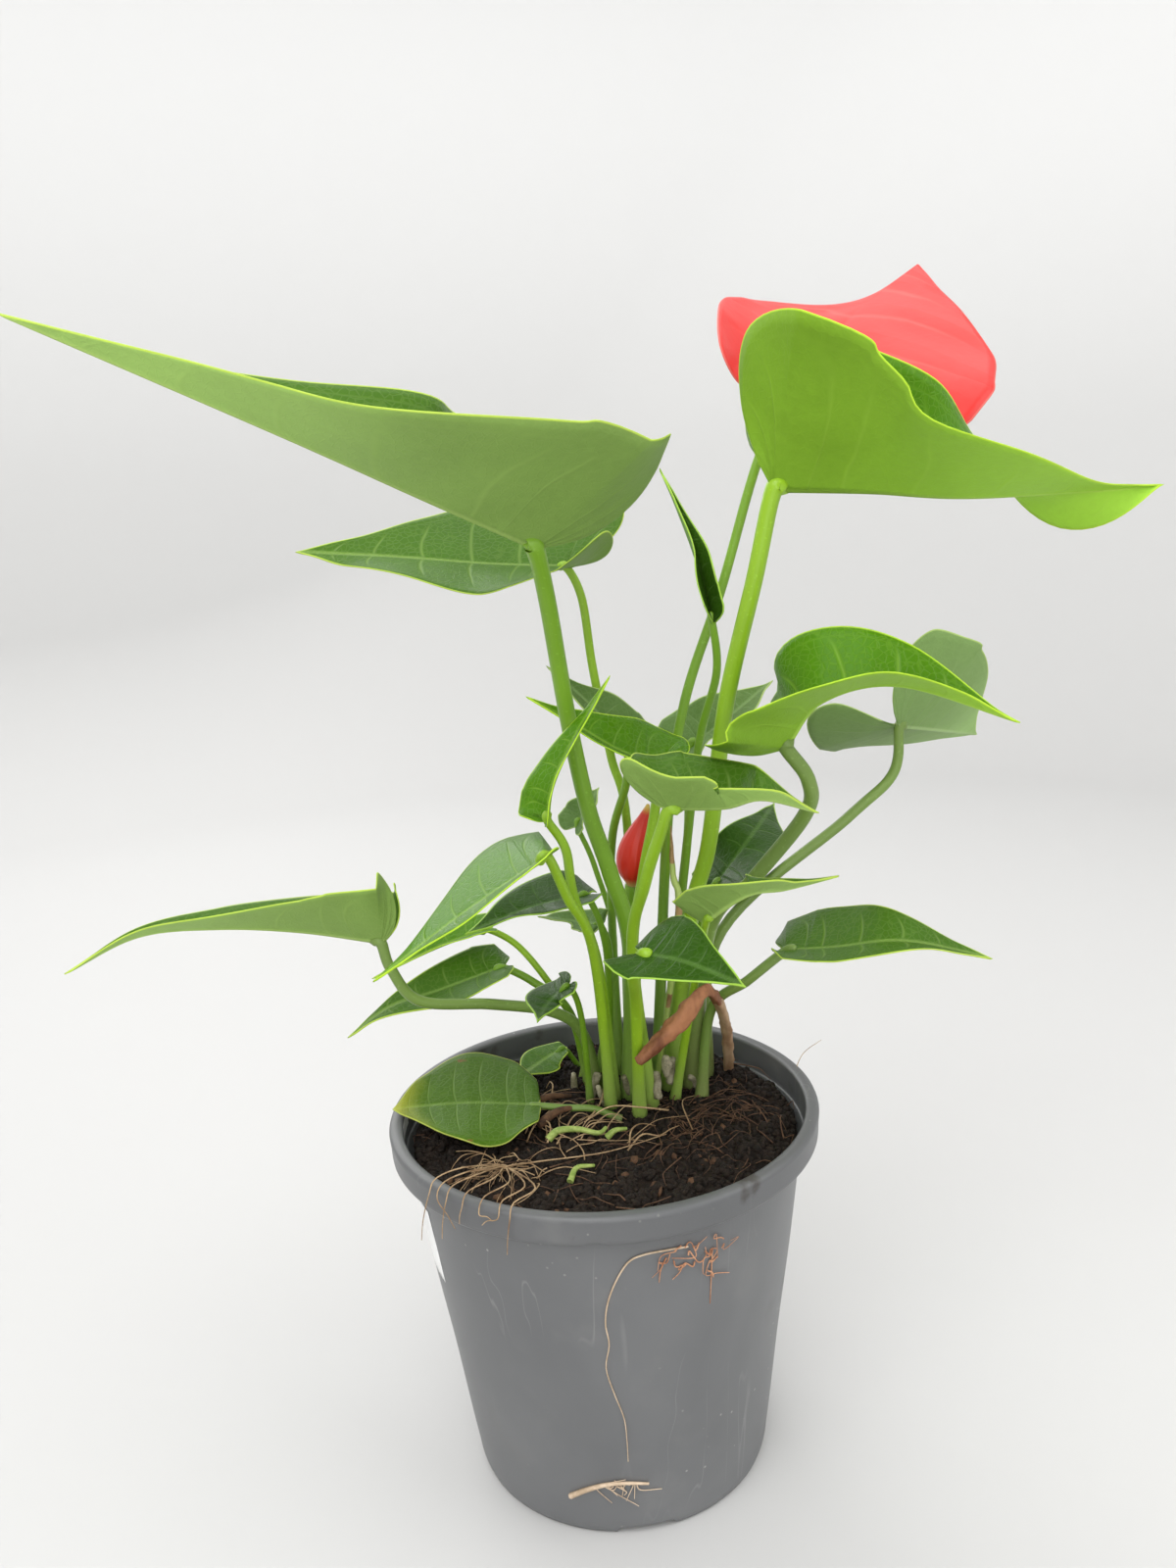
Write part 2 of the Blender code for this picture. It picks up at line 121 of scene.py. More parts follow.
class Graph:
    """Builds one material's nodes."""

    def __init__(self, name: str) -> None:
        """Start a material with only an output node."""
        self.material = bpy.data.materials.new(name)
        self.material.use_nodes = True
        self.tree = self.material.node_tree
        self.tree.nodes.clear()
        self.place = self.make("ShaderNodeTexCoord", {}, {}, "Object")

    def make(self, kind: str, settings: dict[str, Any], inputs: dict[Any, Any], output: Any = 0) -> Value:
        """Add a node.

        Args:
            kind: The node's type name.
            settings: Attributes set first.
            inputs: Values or links by socket name or number.
            output: The output socket's name or number.

        Returns:
            The chosen output as a Value.
        """
        node = self.tree.nodes.new(kind)
        for key, setting in settings.items():
            setattr(node, key, setting)
        for key, given in inputs.items():
            if isinstance(given, Value):
                self.tree.links.new(given.socket, node.inputs[key])
            elif isinstance(given, tuple) and len(given) == 3 and node.inputs[key].type == "RGBA":
                node.inputs[key].default_value = (*given, 1.0)
            else:
                node.inputs[key].default_value = given
        return Value(self, node.outputs[output])

    def attribute(self, name: str) -> Value:
        """A mesh attribute's number."""
        return self.make("ShaderNodeAttribute", {"attribute_name": name}, {}, "Fac")

    def noise(self, scale: float, detail: float = 3.0, stretch: Optional[Point] = None,
              distortion: float = 0.0) -> Value:
        """Noise over the piece, with `scale` features a metre."""
        place = self.place
        if stretch:
            place = self.make("ShaderNodeMapping", {}, {"Vector": place, "Scale": stretch})
        return self.make("ShaderNodeTexNoise", {},
                         {"Vector": place, "Scale": scale, "Detail": detail, "Distortion": distortion})

    def cells(self, scale: float, feature: str = "DISTANCE_TO_EDGE") -> Value:
        """Cell pattern: distance to the cell edge or centre."""
        return self.make("ShaderNodeTexVoronoi", {"feature": feature},
                         {"Vector": self.place, "Scale": scale}, "Distance")

    def mix(self, factor: Any, low: Any, high: Any, blend: str = "MIX") -> Value:
        """Mix two colours."""
        return self.make("ShaderNodeMix", {"data_type": "RGBA", "blend_type": blend},
                         {0: factor, 6: low, 7: high}, 2)

    def bump(self, height: Value, distance: float, strength: float = 1.0) -> Value:
        """Bump from a height of 0 to 1 that stands for `distance` metres."""
        return self.make("ShaderNodeBump", {},
                         {"Height": height, "Distance": distance, "Strength": strength})

    def surface(self, base: Any, rough: Any, normal: Optional[Value] = None, glow: Optional[Value] = None,
                share: float = 0.0, **constants: Any) -> bpy.types.Material:
        """Finish the material with a Principled shader.

        Args:
            base: Base colour.
            rough: Roughness.
            normal: Normal.
            glow: Colour of the light that comes through a thin sheet.
            share: How much of the light comes through.
            **constants: Other sockets, with _ for a space.

        Returns:
            The material.
        """
        inputs: dict[str, Any] = {"Base Color": base, "Roughness": rough}
        if normal:
            inputs["Normal"] = normal
        inputs.update({k.replace("_", " "): v for k, v in constants.items()})
        shader = self.make("ShaderNodeBsdfPrincipled", {}, inputs)
        if glow:
            through = self.make("ShaderNodeBsdfTranslucent", {}, {"Color": glow})
            shader = self.make("ShaderNodeMixShader", {}, {0: share, 1: shader, 2: through})
        end = self.tree.nodes.new("ShaderNodeOutputMaterial")
        self.tree.links.new(shader.socket, end.inputs["Surface"])
        return self.material


# ------------------------------------------------------------------- finishes
class Tone(Enum):
    """The kinds of leaf on this plant."""
    MATURE = "mature"
    FRESH = "fresh"
    DEEP = "deep"
    PALE = "pale"
    FADED = "faded"


@dataclass(frozen=True)
class LeafFinish:
    """How one kind of leaf is coloured and how glossy it is."""
    name: str
    upper: Colour
    under: Colour
    vein: Colour
    # colour of the painted highlight along the margin
    margin: Colour
    gloss: float = 0.30
    share: float = 0.16
    old: float = 0.0          # how far the tip has yellowed

    def material(self) -> bpy.types.Material:
        """Two-sided leaf skin with veins and quilting, painted shade and light on the underside and a
        painted highlight along the margin.
        """
        g = Graph(self.name)
        across, fan, under = g.attribute("across"), g.attribute("fan"), g.attribute("under")
        rib, edge, station = g.attribute("rib"), g.attribute("edge"), g.attribute("station")
        wobble = g.noise(45.0, 2.0)
        phase = fan * 11.0 + across * across * 0.55 + wobble * 0.25
        ridge = phase.wave()
        vein = (1.0 - ridge.step(0.0, 0.13)) * (1.0 - across.step(0.55, 0.95)) * rib.step(0.4, 1.5)
        hoop = (1.0 - ((across - 0.86).math("ABSOLUTE")).step(0.0, 0.022)) * 0.3
        web = (1.0 - g.cells(520.0).step(0.0, 0.12)) * 0.35
        lines = vein.math("MAXIMUM", hoop).math("MAXIMUM", web)
        patch = g.noise(22.0, 4.0, distortion=0.6)
        fine = g.noise(420.0, 3.0)
        light = patch * 0.5 + fine * 0.14 + 0.66
        top = g.mix(lines * 0.24, self.upper, self.vein)
        # Painted shade and light: the underside is painted darker near the stalk and lighter towards the
        # tip.
        back = g.mix(station.step(0.0, 0.8), tuple(c * 0.74 for c in self.under),
                     tuple(c * 1.22 + 0.015 for c in self.under))
        low = g.mix(lines * 0.13, back, self.vein)
        base = g.mix(under, top, low)
        base = g.mix(1.0, base, g.make("ShaderNodeCombineColor", {}, {0: light, 1: light, 2: light}),
                     "MULTIPLY")
        base = g.mix((1.0 - rib.step(0.3, 1.1)) * (under * 0.55 + 0.3), base, self.vein)
        if self.old:
            gone = station * 0.8 + patch * 0.5
            base = g.mix(gone.step(0.78, 1.15) * self.old, base, (0.52, 0.50, 0.06))
            spots = g.noise(170.0, 2.0).step(0.70, 0.76) * across.step(0.55, 0.95)
            base = g.mix(spots, base, (0.20, 0.10, 0.03))
        fleck = g.cells(95.0, "F1")
        base = g.mix((1.0 - fleck.step(0.03, 0.07)) * g.noise(31.0).step(0.62, 0.66) * 0.6, base,
                     (0.06, 0.07, 0.02))
        # Painted highlight: a thin band along the margin in the margin colour.
        base = g.mix(1.0 - edge.step(0.12, 0.55), base, self.margin)
        rough = g.mix(under, (self.gloss,) * 3, (0.52,) * 3)
        rough = rough + patch * 0.16 - 0.06 + lines * 0.05
        sign = 1.0 - under * 1.7
        quilt = ridge * (1.0 - across * 0.6) * sign
        high = quilt * 0.55 - lines * sign * 0.35 + g.noise(900.0, 2.0) * 0.05
        normal = g.bump(high, 0.0009, 0.55)
        glow = g.mix(0.5, base, (0.36, 0.62, 0.05))
        return g.surface(base, rough, normal, glow, self.share, Specular_IOR_Level=0.13)


LEAF_FINISHES = {
    Tone.MATURE: LeafFinish("leaf_mature", (0.062, 0.155, 0.010), (0.285, 0.455, 0.105), (0.42, 0.60, 0.16),
                            (0.52, 0.70, 0.10)),
    Tone.FRESH: LeafFinish("leaf_fresh", (0.078, 0.220, 0.004), (0.290, 0.540, 0.036), (0.42, 0.66, 0.09),
                           (0.50, 0.76, 0.05), 0.27),
    Tone.DEEP: LeafFinish("leaf_deep", (0.026, 0.078, 0.004), (0.120, 0.250, 0.040), (0.16, 0.30, 0.07),
                          (0.34, 0.56, 0.07), 0.30, 0.08),
    Tone.PALE: LeafFinish("leaf_pale", (0.110, 0.205, 0.050), (0.270, 0.430, 0.140), (0.40, 0.56, 0.24),
                          (0.46, 0.62, 0.20), 0.42),
    Tone.FADED: LeafFinish("leaf_faded", (0.066, 0.145, 0.008), (0.250, 0.400, 0.080), (0.30, 0.46, 0.10),
                           (0.45, 0.52, 0.10), 0.38, 0.1, 0.9),
}


@dataclass(frozen=True)
class StalkFinish:
    """Smooth stem skin, paler where it leaves the soil."""
    name: str
    skin: Colour
    foot: Colour

    def material(self) -> bpy.types.Material:
        """Green stem with fine lengthwise streaks."""
        g = Graph(self.name)
        climb, turn = g.attribute("climb"), g.attribute("turn")
        streak = g.noise(160.0, 3.0, (1.0, 1.0, 0.06))
        patch = g.noise(30.0, 3.0)
        base = g.mix(patch.step(0.3, 0.7) * 0.45 + streak * 0.25, self.skin,
                     tuple(c * 0.66 for c in self.skin))
        base = g.mix((1.0 - climb.step(0.0, 0.16)) * 0.75, base, self.foot)
        speck = g.noise(900.0, 1.0).step(0.66, 0.72) * 0.25
        base = g.mix(speck, base, tuple(min(1.0, c * 1.5 + 0.04) for c in self.skin))
        lines = (turn * 14.0 + patch * 0.5).wave()
        normal = g.bump(lines * 0.5 + streak * 0.5, 0.00012, 0.5)
        glow = g.mix(0.5, base, (0.45, 0.68, 0.06))
        return g.surface(base, patch * 0.2 + 0.30, normal, glow, 0.10, Specular_IOR_Level=0.45)


STALK_FRESH = StalkFinish("stalk_fresh", (0.300, 0.520, 0.022), (0.33, 0.46, 0.12))
STALK_GREEN = StalkFinish("stalk_mid", (0.190, 0.370, 0.022), (0.26, 0.38, 0.10))
STALK_OLIVE = StalkFinish("stalk_olive", (0.190, 0.300, 0.060), (0.22, 0.26, 0.09))


@dataclass(frozen=True)
class WaxFinish:
    """Waxy flower tissue."""
    name: str
    face: Colour
    back: Colour
    # pale colour of the faint veins and of the painted highlight along the rim
    edge: Colour
    gloss: float = 0.28

    def material(self) -> bpy.types.Material:
        """Red spathe, glossy in front and softer behind, with faint veins and a painted highlight along the
        rim.
        """
        g = Graph(self.name)
        across, fan, under, rim = (g.attribute(n) for n in ("across", "fan", "under", "edge"))
        patch = g.noise(26.0, 4.0, distortion=1.2)
        ridge = (fan * 9.0 + across * across * 0.7 + patch * 0.5).wave()
        vein = (1.0 - ridge.step(0.0, 0.18)) * (1.0 - across.step(0.5, 0.95))
        base = g.mix(under, self.face, self.back)
        base = g.mix(patch.step(0.35, 0.8) * 0.35, base, tuple(min(1.0, c * 1.12 + 0.02) for c in self.back))
        base = g.mix(vein * 0.22, base, self.edge)
        # Painted highlight: a band along the rim is painted towards the pale edge colour.
        base = g.mix((1.0 - rim.step(0.1, 0.6)) * 0.6, base, self.edge)
        rough = g.mix(under, (self.gloss,) * 3, (0.5,) * 3)
        normal = g.bump(ridge * 0.6 + g.noise(240.0, 3.0) * 0.25, 0.0008, 0.6)
        glow = g.mix(0.5, base, (1.0, 0.22, 0.14))
        return g.surface(base, rough + patch * 0.1, normal, glow, 0.2, Specular_IOR_Level=0.45)


@dataclass(frozen=True)
class MatterFinish:
    """Earthy, dry or woody stuff: two colours, roughness and grain."""
    name: str
    dark: Colour
    light: Colour
    rough: float
    grain: float              # features a metre
    relief: float             # metres
    stretch: Optional[Point] = None
    specular: float = 0.3

    def material(self) -> bpy.types.Material:
        """Mottled, bumpy matter."""
        g = Graph(self.name)
        patch = g.noise(self.grain, 5.0, self.stretch, 0.4)
        fine = g.noise(self.grain * 6.0, 3.0, self.stretch)
        base = g.mix((patch * 0.7 + fine * 0.3).step(0.30, 0.70), self.dark, self.light)
        normal = g.bump(patch * 0.6 + fine * 0.4, self.relief, 0.8)
        return g.surface(base, fine * 0.15 + (self.rough - 0.07), normal, Specular_IOR_Level=self.specular)


SOIL = MatterFinish("peat", (0.0045, 0.0032, 0.0024), (0.022, 0.013, 0.008), 0.85, 300.0, 0.0010, None, 0.22)
CRUMB = MatterFinish("crumbs", (0.004, 0.003, 0.0022), (0.024, 0.015, 0.010), 0.82, 500.0, 0.0004, None,
                     0.25)
BARK = MatterFinish("bark", (0.035, 0.018, 0.010), (0.14, 0.07, 0.035), 0.8, 240.0, 0.0004)
STRAW = MatterFinish("straw", (0.20, 0.115, 0.055), (0.50, 0.35, 0.20), 0.7, 160.0, 0.0001)
ROOT = MatterFinish("roots", (0.035, 0.018, 0.010), (0.15, 0.080, 0.045), 0.75, 200.0, 0.0001)
COPPER = MatterFinish("copper_roots", (0.34, 0.13, 0.06), (0.62, 0.34, 0.20), 0.7, 240.0, 0.0001)
TAN = MatterFinish("tan_root", (0.40, 0.29, 0.19), (0.66, 0.52, 0.38), 0.7, 200.0, 0.0001)
FRAGMENT = MatterFinish("green_fragments", (0.14, 0.22, 0.03), (0.40, 0.48, 0.14), 0.5, 220.0, 0.0003)
NUB = MatterFinish("crown_nubs", (0.13, 0.12, 0.06), (0.42, 0.38, 0.27), 0.6, 260.0, 0.0003)
DEAD = MatterFinish("dead_stalk", (0.11, 0.035, 0.014), (0.36, 0.155, 0.070), 0.62, 110.0, 0.0005,
                    (1.0, 1.0, 0.5))
DEAD_PALE = MatterFinish("dead_stalk_pale", (0.27, 0.15, 0.075), (0.50, 0.34, 0.20), 0.62, 110.0, 0.0004,
                         (1.0, 1.0, 0.4))
SHEATH = MatterFinish("sheath", (0.24, 0.34, 0.06), (0.40, 0.50, 0.15), 0.5, 140.0, 0.0003, (1.0, 1.0, 0.12))
SPADIX = MatterFinish("spadix", (0.62, 0.40, 0.10), (0.86, 0.66, 0.26), 0.5, 900.0, 0.0004)
LABEL = MatterFinish("blank_label", (0.80, 0.80, 0.80), (0.88, 0.88, 0.87), 0.45, 60.0, 0.00005)


@dataclass(frozen=True)
class BudFinish:
    """Rolled red bud, pale at its foot and yellow at its tip."""
    name: str = "bud_skin"

    def material(self) -> bpy.types.Material:
        """Deep red wax with lengthwise folds."""
        g = Graph(self.name)
        climb, turn = g.attribute("climb"), g.attribute("turn")
        patch = g.noise(60.0, 3.0, (1.0, 1.0, 0.3))
        base = g.mix(patch, (0.44, 0.014, 0.008), (0.66, 0.036, 0.018))
        base = g.mix(1.0 - climb.step(0.0, 0.14), base, (0.55, 0.34, 0.14))
        base = g.mix(climb.step(0.88, 0.99), base, (0.60, 0.42, 0.08))
        normal = g.bump((turn * 16.0 + patch).wave() * 0.5 + patch, 0.0003, 0.5)
        return g.surface(base, patch * 0.15 + 0.26, normal, Specular_IOR_Level=0.3, Coat_Weight=0.05)


@dataclass(frozen=True)
class PotFinish:
    """Semi-matt grey moulded plastic with dust, scuffs and painted shade on the rim band."""
    name: str = "pot_plastic"

    def material(self) -> bpy.types.Material:
        """Dusty moulded plastic with painted shade on the rim band."""
        g = Graph(self.name)
        cloud = g.noise(14.0, 4.0, None, 0.5)
        dust = g.noise(55.0, 6.0).step(0.52, 0.80)
        specks = 1.0 - g.cells(210.0, "F1").step(0.04, 0.11)
        specks = specks * g.noise(18.0, 2.0).step(0.50, 0.62)
        scratch = 1.0 - (g.noise(60.0, 2.0, (1.0, 1.0, 0.10), 0.8) - 0.5).math("ABSOLUTE").step(0.0, 0.010)
        scratch = scratch * g.noise(23.0).step(0.52, 0.64)
        stain = g.noise(75.0, 5.0).step(0.62, 0.72) * g.attribute("lip")
        base = g.mix(cloud.step(0.3, 0.7), (0.112, 0.115, 0.119), (0.142, 0.145, 0.149))
        # Painted shade: the rim band is painted darker grey.
        base = g.mix(g.attribute("lip") * 0.45, base, (0.070, 0.072, 0.075))
        base = g.mix(dust * 0.20, base, (0.27, 0.265, 0.25))
        base = g.mix(specks * 0.55, base, (0.42, 0.41, 0.38))
        base = g.mix(scratch * 0.28, base, (0.32, 0.32, 0.31))
        base = g.mix(stain * 0.7, base, (0.030, 0.022, 0.016))
        rough = cloud * 0.12 + dust * 0.16 + 0.33
        normal = g.bump(g.noise(1500.0, 2.0) * 0.5 + scratch * -0.4, 0.00008, 0.4)
        return g.surface(base, rough, normal, Specular_IOR_Level=0.5)


# --------------------------------------------------------------- curve helpers
def spline(points: Sequence[Sequence[float]], count: int) -> np.ndarray:
    """Catmull-Rom curve.

    Args:
        points: Points the curve passes through, of any dimension.
        count: Number of even parameter steps.

    Returns:
        One row for each step.
    """
    pts = np.array(points, float)
    full = np.vstack([2 * pts[0] - pts[1], pts, 2 * pts[-1] - pts[-2]])
    spans = len(pts) - 1
    t = np.linspace(0, spans, count)
    i = np.minimum(t.astype(int), spans - 1)
    u = (t - i)[:, None]
    a, b, c, d = (full[i + k] for k in range(4))
    return 0.5 * (2 * b + (c - a) * u + (2 * a - 5 * b + 4 * c - d) * u ** 2
                  + (3 * b - a - 3 * c + d) * u ** 3)


def through_three(x: float, xs: Sequence[float], ys: Sequence[float]) -> float:
    """Quadratic through three points."""
    a, b, c = xs
    return (ys[0] * (x - b) * (x - c) / ((a - b) * (a - c)) + ys[1] * (x - a) * (x - c) / ((b - a) * (b - c))
            + ys[2] * (x - a) * (x - b) / ((c - a) * (c - b)))


def smooth(x: float, low: float, high: float) -> float:
    """Smooth 0 to 1 ramp."""
    t = min(1.0, max(0.0, (x - low) / (high - low)))
    return t * t * (3 - 2 * t)


class Piece:
    """Collects one mesh with its point attributes and makes the object."""

    def __init__(self, name: str) -> None:
        """Start an empty mesh (mm)."""
        self.name = name
        self.verts: list[Any] = []
        self.faces: list[Sequence[int]] = []
        self.marks: dict[str, list[float]] = {}

    def vert(self, point: Iterable[float], **marks: float) -> int:
        """Add a vertex with its attribute values and return its number."""
        self.verts.append(tuple(point))
        for key, mark in marks.items():
            self.marks.setdefault(key, []).append(mark)
        return len(self.verts) - 1

    def build(self, *materials: bpy.types.Material, slot: str, nodes: Sequence[str] = (),
              paint: Optional[Callable[[Vector], int]] = None) -> bpy.types.Object:
        """Make the object, give it its materials and hook it to the frame.

        Args:
            *materials: The piece's materials.
            slot: Not used.
            nodes: CAD nodes it stands for.
            paint: Material number from a face's centre (mm), for several materials.

        Returns:
            The finished object.
        """
        mesh = bpy.data.meshes.new(self.name)
        mesh.from_pydata([tuple(c * MM for c in v) for v in self.verts], [], self.faces)
        mesh.validate()
        for key, marks in self.marks.items():
            mesh.attributes.new(key, "FLOAT", "POINT").data.foreach_set("value", marks)
        mesh.polygons.foreach_set("use_smooth", [True] * len(mesh.polygons))
        mesh.update()
        obj = bpy.data.objects.new(self.name, mesh)
        bpy.context.scene.collection.objects.link(obj)
        for material in materials:
            mesh.materials.append(material)
        if paint:
            for poly in mesh.polygons:
                poly.material_index = paint(poly.center / MM)
        return hook(obj, nodes)


def hook(obj: bpy.types.Object, nodes: Sequence[str] = ()) -> bpy.types.Object:
    """Ride the one body, replace the CAD nodes and log the fit."""
    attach(obj, "root")
    if nodes:
        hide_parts(*nodes)
        corners = np.array([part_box(n) for n in nodes]).reshape(-1, 3)
        mine = np.array([v.co for v in obj.data.vertices])
        gap = max(np.abs(mine.min(0) - corners.min(0)).max(), np.abs(mine.max(0) - corners.max(0)).max())
        LOG.info("%s: %d faces, box within %.1f mm of the CAD", obj.name, len(obj.data.polygons), gap / MM)
    else:
        LOG.info("%s: %d faces", obj.name, len(obj.data.polygons))
    return obj


# --------------------------------------------------------------------- leaves
# Half outline of a blade from the notch round to the tip: (along, across).
HEART = ((0.0, 0.0), (-0.62, 0.17), (-1.0, 0.45), (-0.80, 0.80), (0.03, 1.0), (0.17, 0.95),
         (0.36, 0.74), (0.55, 0.46), (0.73, 0.23), (0.88, 0.085), (1.0, 0.0))
OVAL = ((0.0, 0.0), (-0.15, 0.04), (-0.30, 0.14), (-0.10, 0.34), (0.08, 0.66), (0.22, 0.90),
        (0.42, 1.0), (0.60, 0.86), (0.78, 0.52), (0.91, 0.22), (1.0, 0.0))
SPATHE = ((0.0, 0.0), (-0.45, 0.20), (-0.85, 0.52), (-0.70, 0.86), (0.05, 1.0), (0.25, 0.96),
          (0.48, 0.78), (0.68, 0.52), (0.84, 0.27), (0.94, 0.11), (1.0, 0.0))


@dataclass(frozen=True)
class Half:
    """One half of a blade: half width, lobe length, fold angles, curl and flap."""
    width: float
    lobe: float
    folds: tuple[float, float, float]
    curl: float = 0.0
    flap: float = 0.0         # extra width near the tip, as part of the half width


@dataclass
class Blade:
    """A folded, curved heart-shaped blade (mm, degrees)."""
    midrib: Sequence[Point]
    left: Half
    right: Half
    rise: float
    outline: Sequence[tuple[float, float]] = HEART
    thickness: float = 0.5
    wave: float = 0.5
    seed: float = 0.0
    rib: float = 0.5

    def __post_init__(self) -> None:
        """Work out the midrib's line and running length."""
        self.line = spline(self.midrib, 61)
        self.run = np.concatenate([[0.0], np.cumsum(np.linalg.norm(np.diff(self.line, axis=0), axis=1))])
        self.length = float(self.run[-1])

    def at(self, s: float) -> np.ndarray:
        """Midrib point a length `s` along."""
        return np.array([np.interp(s, self.run, self.line[:, k]) for k in range(3)])

    def point(self, side: int, s: float, v: float) -> np.ndarray:
        """Point on one half, `s` along the midrib (negative in the lobe), `v` across."""
        half = self.left if side > 0 else self.right
        back = min(1.0, max(0.0, -s / half.lobe))
        step = self.length / 60
        reach = max(s, 0.0)
        d = self.at(reach + step) - (self.at(reach - step) if reach > step else self.line[0])
        yaw, pitch = math.atan2(d[1], d[0]), math.atan2(d[2], math.hypot(d[0], d[1]))
        rise = math.radians(self.rise)
        line = pitch - rise * (0.4 + 0.6 * back)
        here = self.at(reach) + min(s, 0.0) * np.array(
            [math.cos(line) * math.cos(yaw), math.cos(line) * math.sin(yaw), math.sin(line)])
        tilt = pitch - rise * back * 0.7
        ahead = np.array([math.cos(tilt) * math.cos(yaw), math.cos(tilt) * math.sin(yaw), math.sin(tilt)])
        out = np.array([-math.sin(yaw), math.cos(yaw), 0.0])
        up = np.cross(ahead, out)
        station = -0.25 * back if s < 0 else min(1.0, s / self.length)
        fold = math.radians(through_three(station, (-0.25, 0.35, 1.0), half.folds))
        curl = math.radians(half.curl) + 1e-6
        part = v / half.width
        flat = half.width / curl * (math.sin(fold + curl * part) - math.sin(fold)) * side
        lift = -half.width / curl * (math.cos(fold + curl * part) - math.cos(fold))
        return here + flat * out + lift * up

    def piece(self, name: str, rows: int, cols: int) -> Piece:
        """The closed, thin blade.

        Args:
            name: The piece's name.
            rows: Points along the margin of each half.
            cols: Points from the midrib to the margin.

        Returns:
            The piece, with the marks its finish reads.
        """
        margin = spline(self.outline, rows)
        flat: list[tuple[np.ndarray, dict[str, float]]] = []
        rib: dict[int, int] = {}
        quads: list[list[int]] = []

        def put(point: np.ndarray, **marks: float) -> int:
            """Add one point and its attributes."""
            flat.append((point, marks))
            return len(flat) - 1

        heel = put(self.line[0], across=0.0, fan=0.0, rib=0.0, edge=9.0, station=0.0)
        tip = put(self.line[-1], across=0.0, fan=1.0, rib=0.0, edge=0.0, station=1.0)
        for side in (1, -1):
            half = self.left if side > 0 else self.right
            index: list[list[int]] = []
            for i, (a, b) in enumerate(margin):
                if i in (0, rows - 1):
                    index.append([heel if i == 0 else tip] * cols)
                    continue
                s = a * half.lobe if a < 0 else a * self.length
                b += half.flap * math.sin(math.pi * min(1.0, max(0.0, (a - 0.5) / 0.5))) ** 1.4
                start = self.length * max(0.0, s / self.length) ** 1.25 if s > 0 else 0.0
                fan = i / (rows - 1)
                reach = math.hypot(s - start, b * half.width)
                row = []
                for j in range(cols):
                    u = (j / (cols - 1)) ** 1.25
                    if j == 0:
                        if start > 0 and i not in rib:
                            rib[i] = put(self.at(start), across=0.0, fan=fan, rib=0.0, edge=min(9.0, reach),
                                         station=start / self.length)
                        row.append(rib[i] if start > 0 else heel)
                        continue
                    p = self.point(side, start + (s - start) * u, b * half.width * u)
                    swing = (math.sin(fan * 15.0 + self.seed * 2.1 + side)
                             + 0.6 * math.sin(fan * 27.0 + self.seed))
                    fade = min(1.0, 6.0 * (1 - fan)) * min(1.0, 6.0 * fan)
                    p = p + np.array([0.0, 0.0, self.wave * swing * u ** 2 * fade])
                    row.append(put(p, across=u, fan=fan, rib=b * half.width * u, edge=(1 - u) * reach,
                                   station=max(0.0, start + (s - start) * u) / self.length))
                index.append(row)
            for i in range(rows - 1):
                for j in range(cols - 1):
                    ring = [index[i][j], index[i + 1][j], index[i + 1][j + 1], index[i][j + 1]]
                    face = [q for n, q in enumerate(ring) if q != ring[n - 1]]
                    if len(set(face)) >= 3:
                        quads.append(face if side < 0 else face[::-1])
        return self._thicken(name, flat, quads)

    def _thicken(self, name: str, flat: list[tuple[np.ndarray, dict[str, float]]],
                 quads: list[list[int]]) -> Piece:
        """Give the sheet its thickness, with a ridge under the midrib."""
        points = np.array([p for p, _ in flat])
        around = np.zeros_like(points)
        for face in quads:
            a, b, c = points[face[0]], points[face[1]], points[face[2]]
            n = np.cross(b - a, c - a)
            around[face] += n
        around /= np.linalg.norm(around, axis=1)[:, None] + 1e-12
        piece = Piece(name)
        for under in (1.0, 0.0):
            for (p, marks), n in zip(flat, around):
                ridge = self.rib * math.exp(-(marks["rib"] / 0.9) ** 2) * (1 - 0.8 * marks["station"])
                drop = self.thickness / 2 + ridge if under else 0.3 * ridge - self.thickness / 2
                piece.vert(p + n * drop * (0.55 if marks["edge"] < 0.05 else 1.0), under=under, **marks)
        count = len(flat)
        edges: dict[tuple[int, int], bool] = {}
        for face in quads:
            piece.faces.append(face)
            piece.faces.append([i + count for i in reversed(face)])
            for a, b in zip(face, face[1:] + face[:1]):
                edges[(a, b)] = True
        for a, b in edges:
            if (b, a) not in edges:
                piece.faces.append([b, a, a + count, b + count])
        return piece


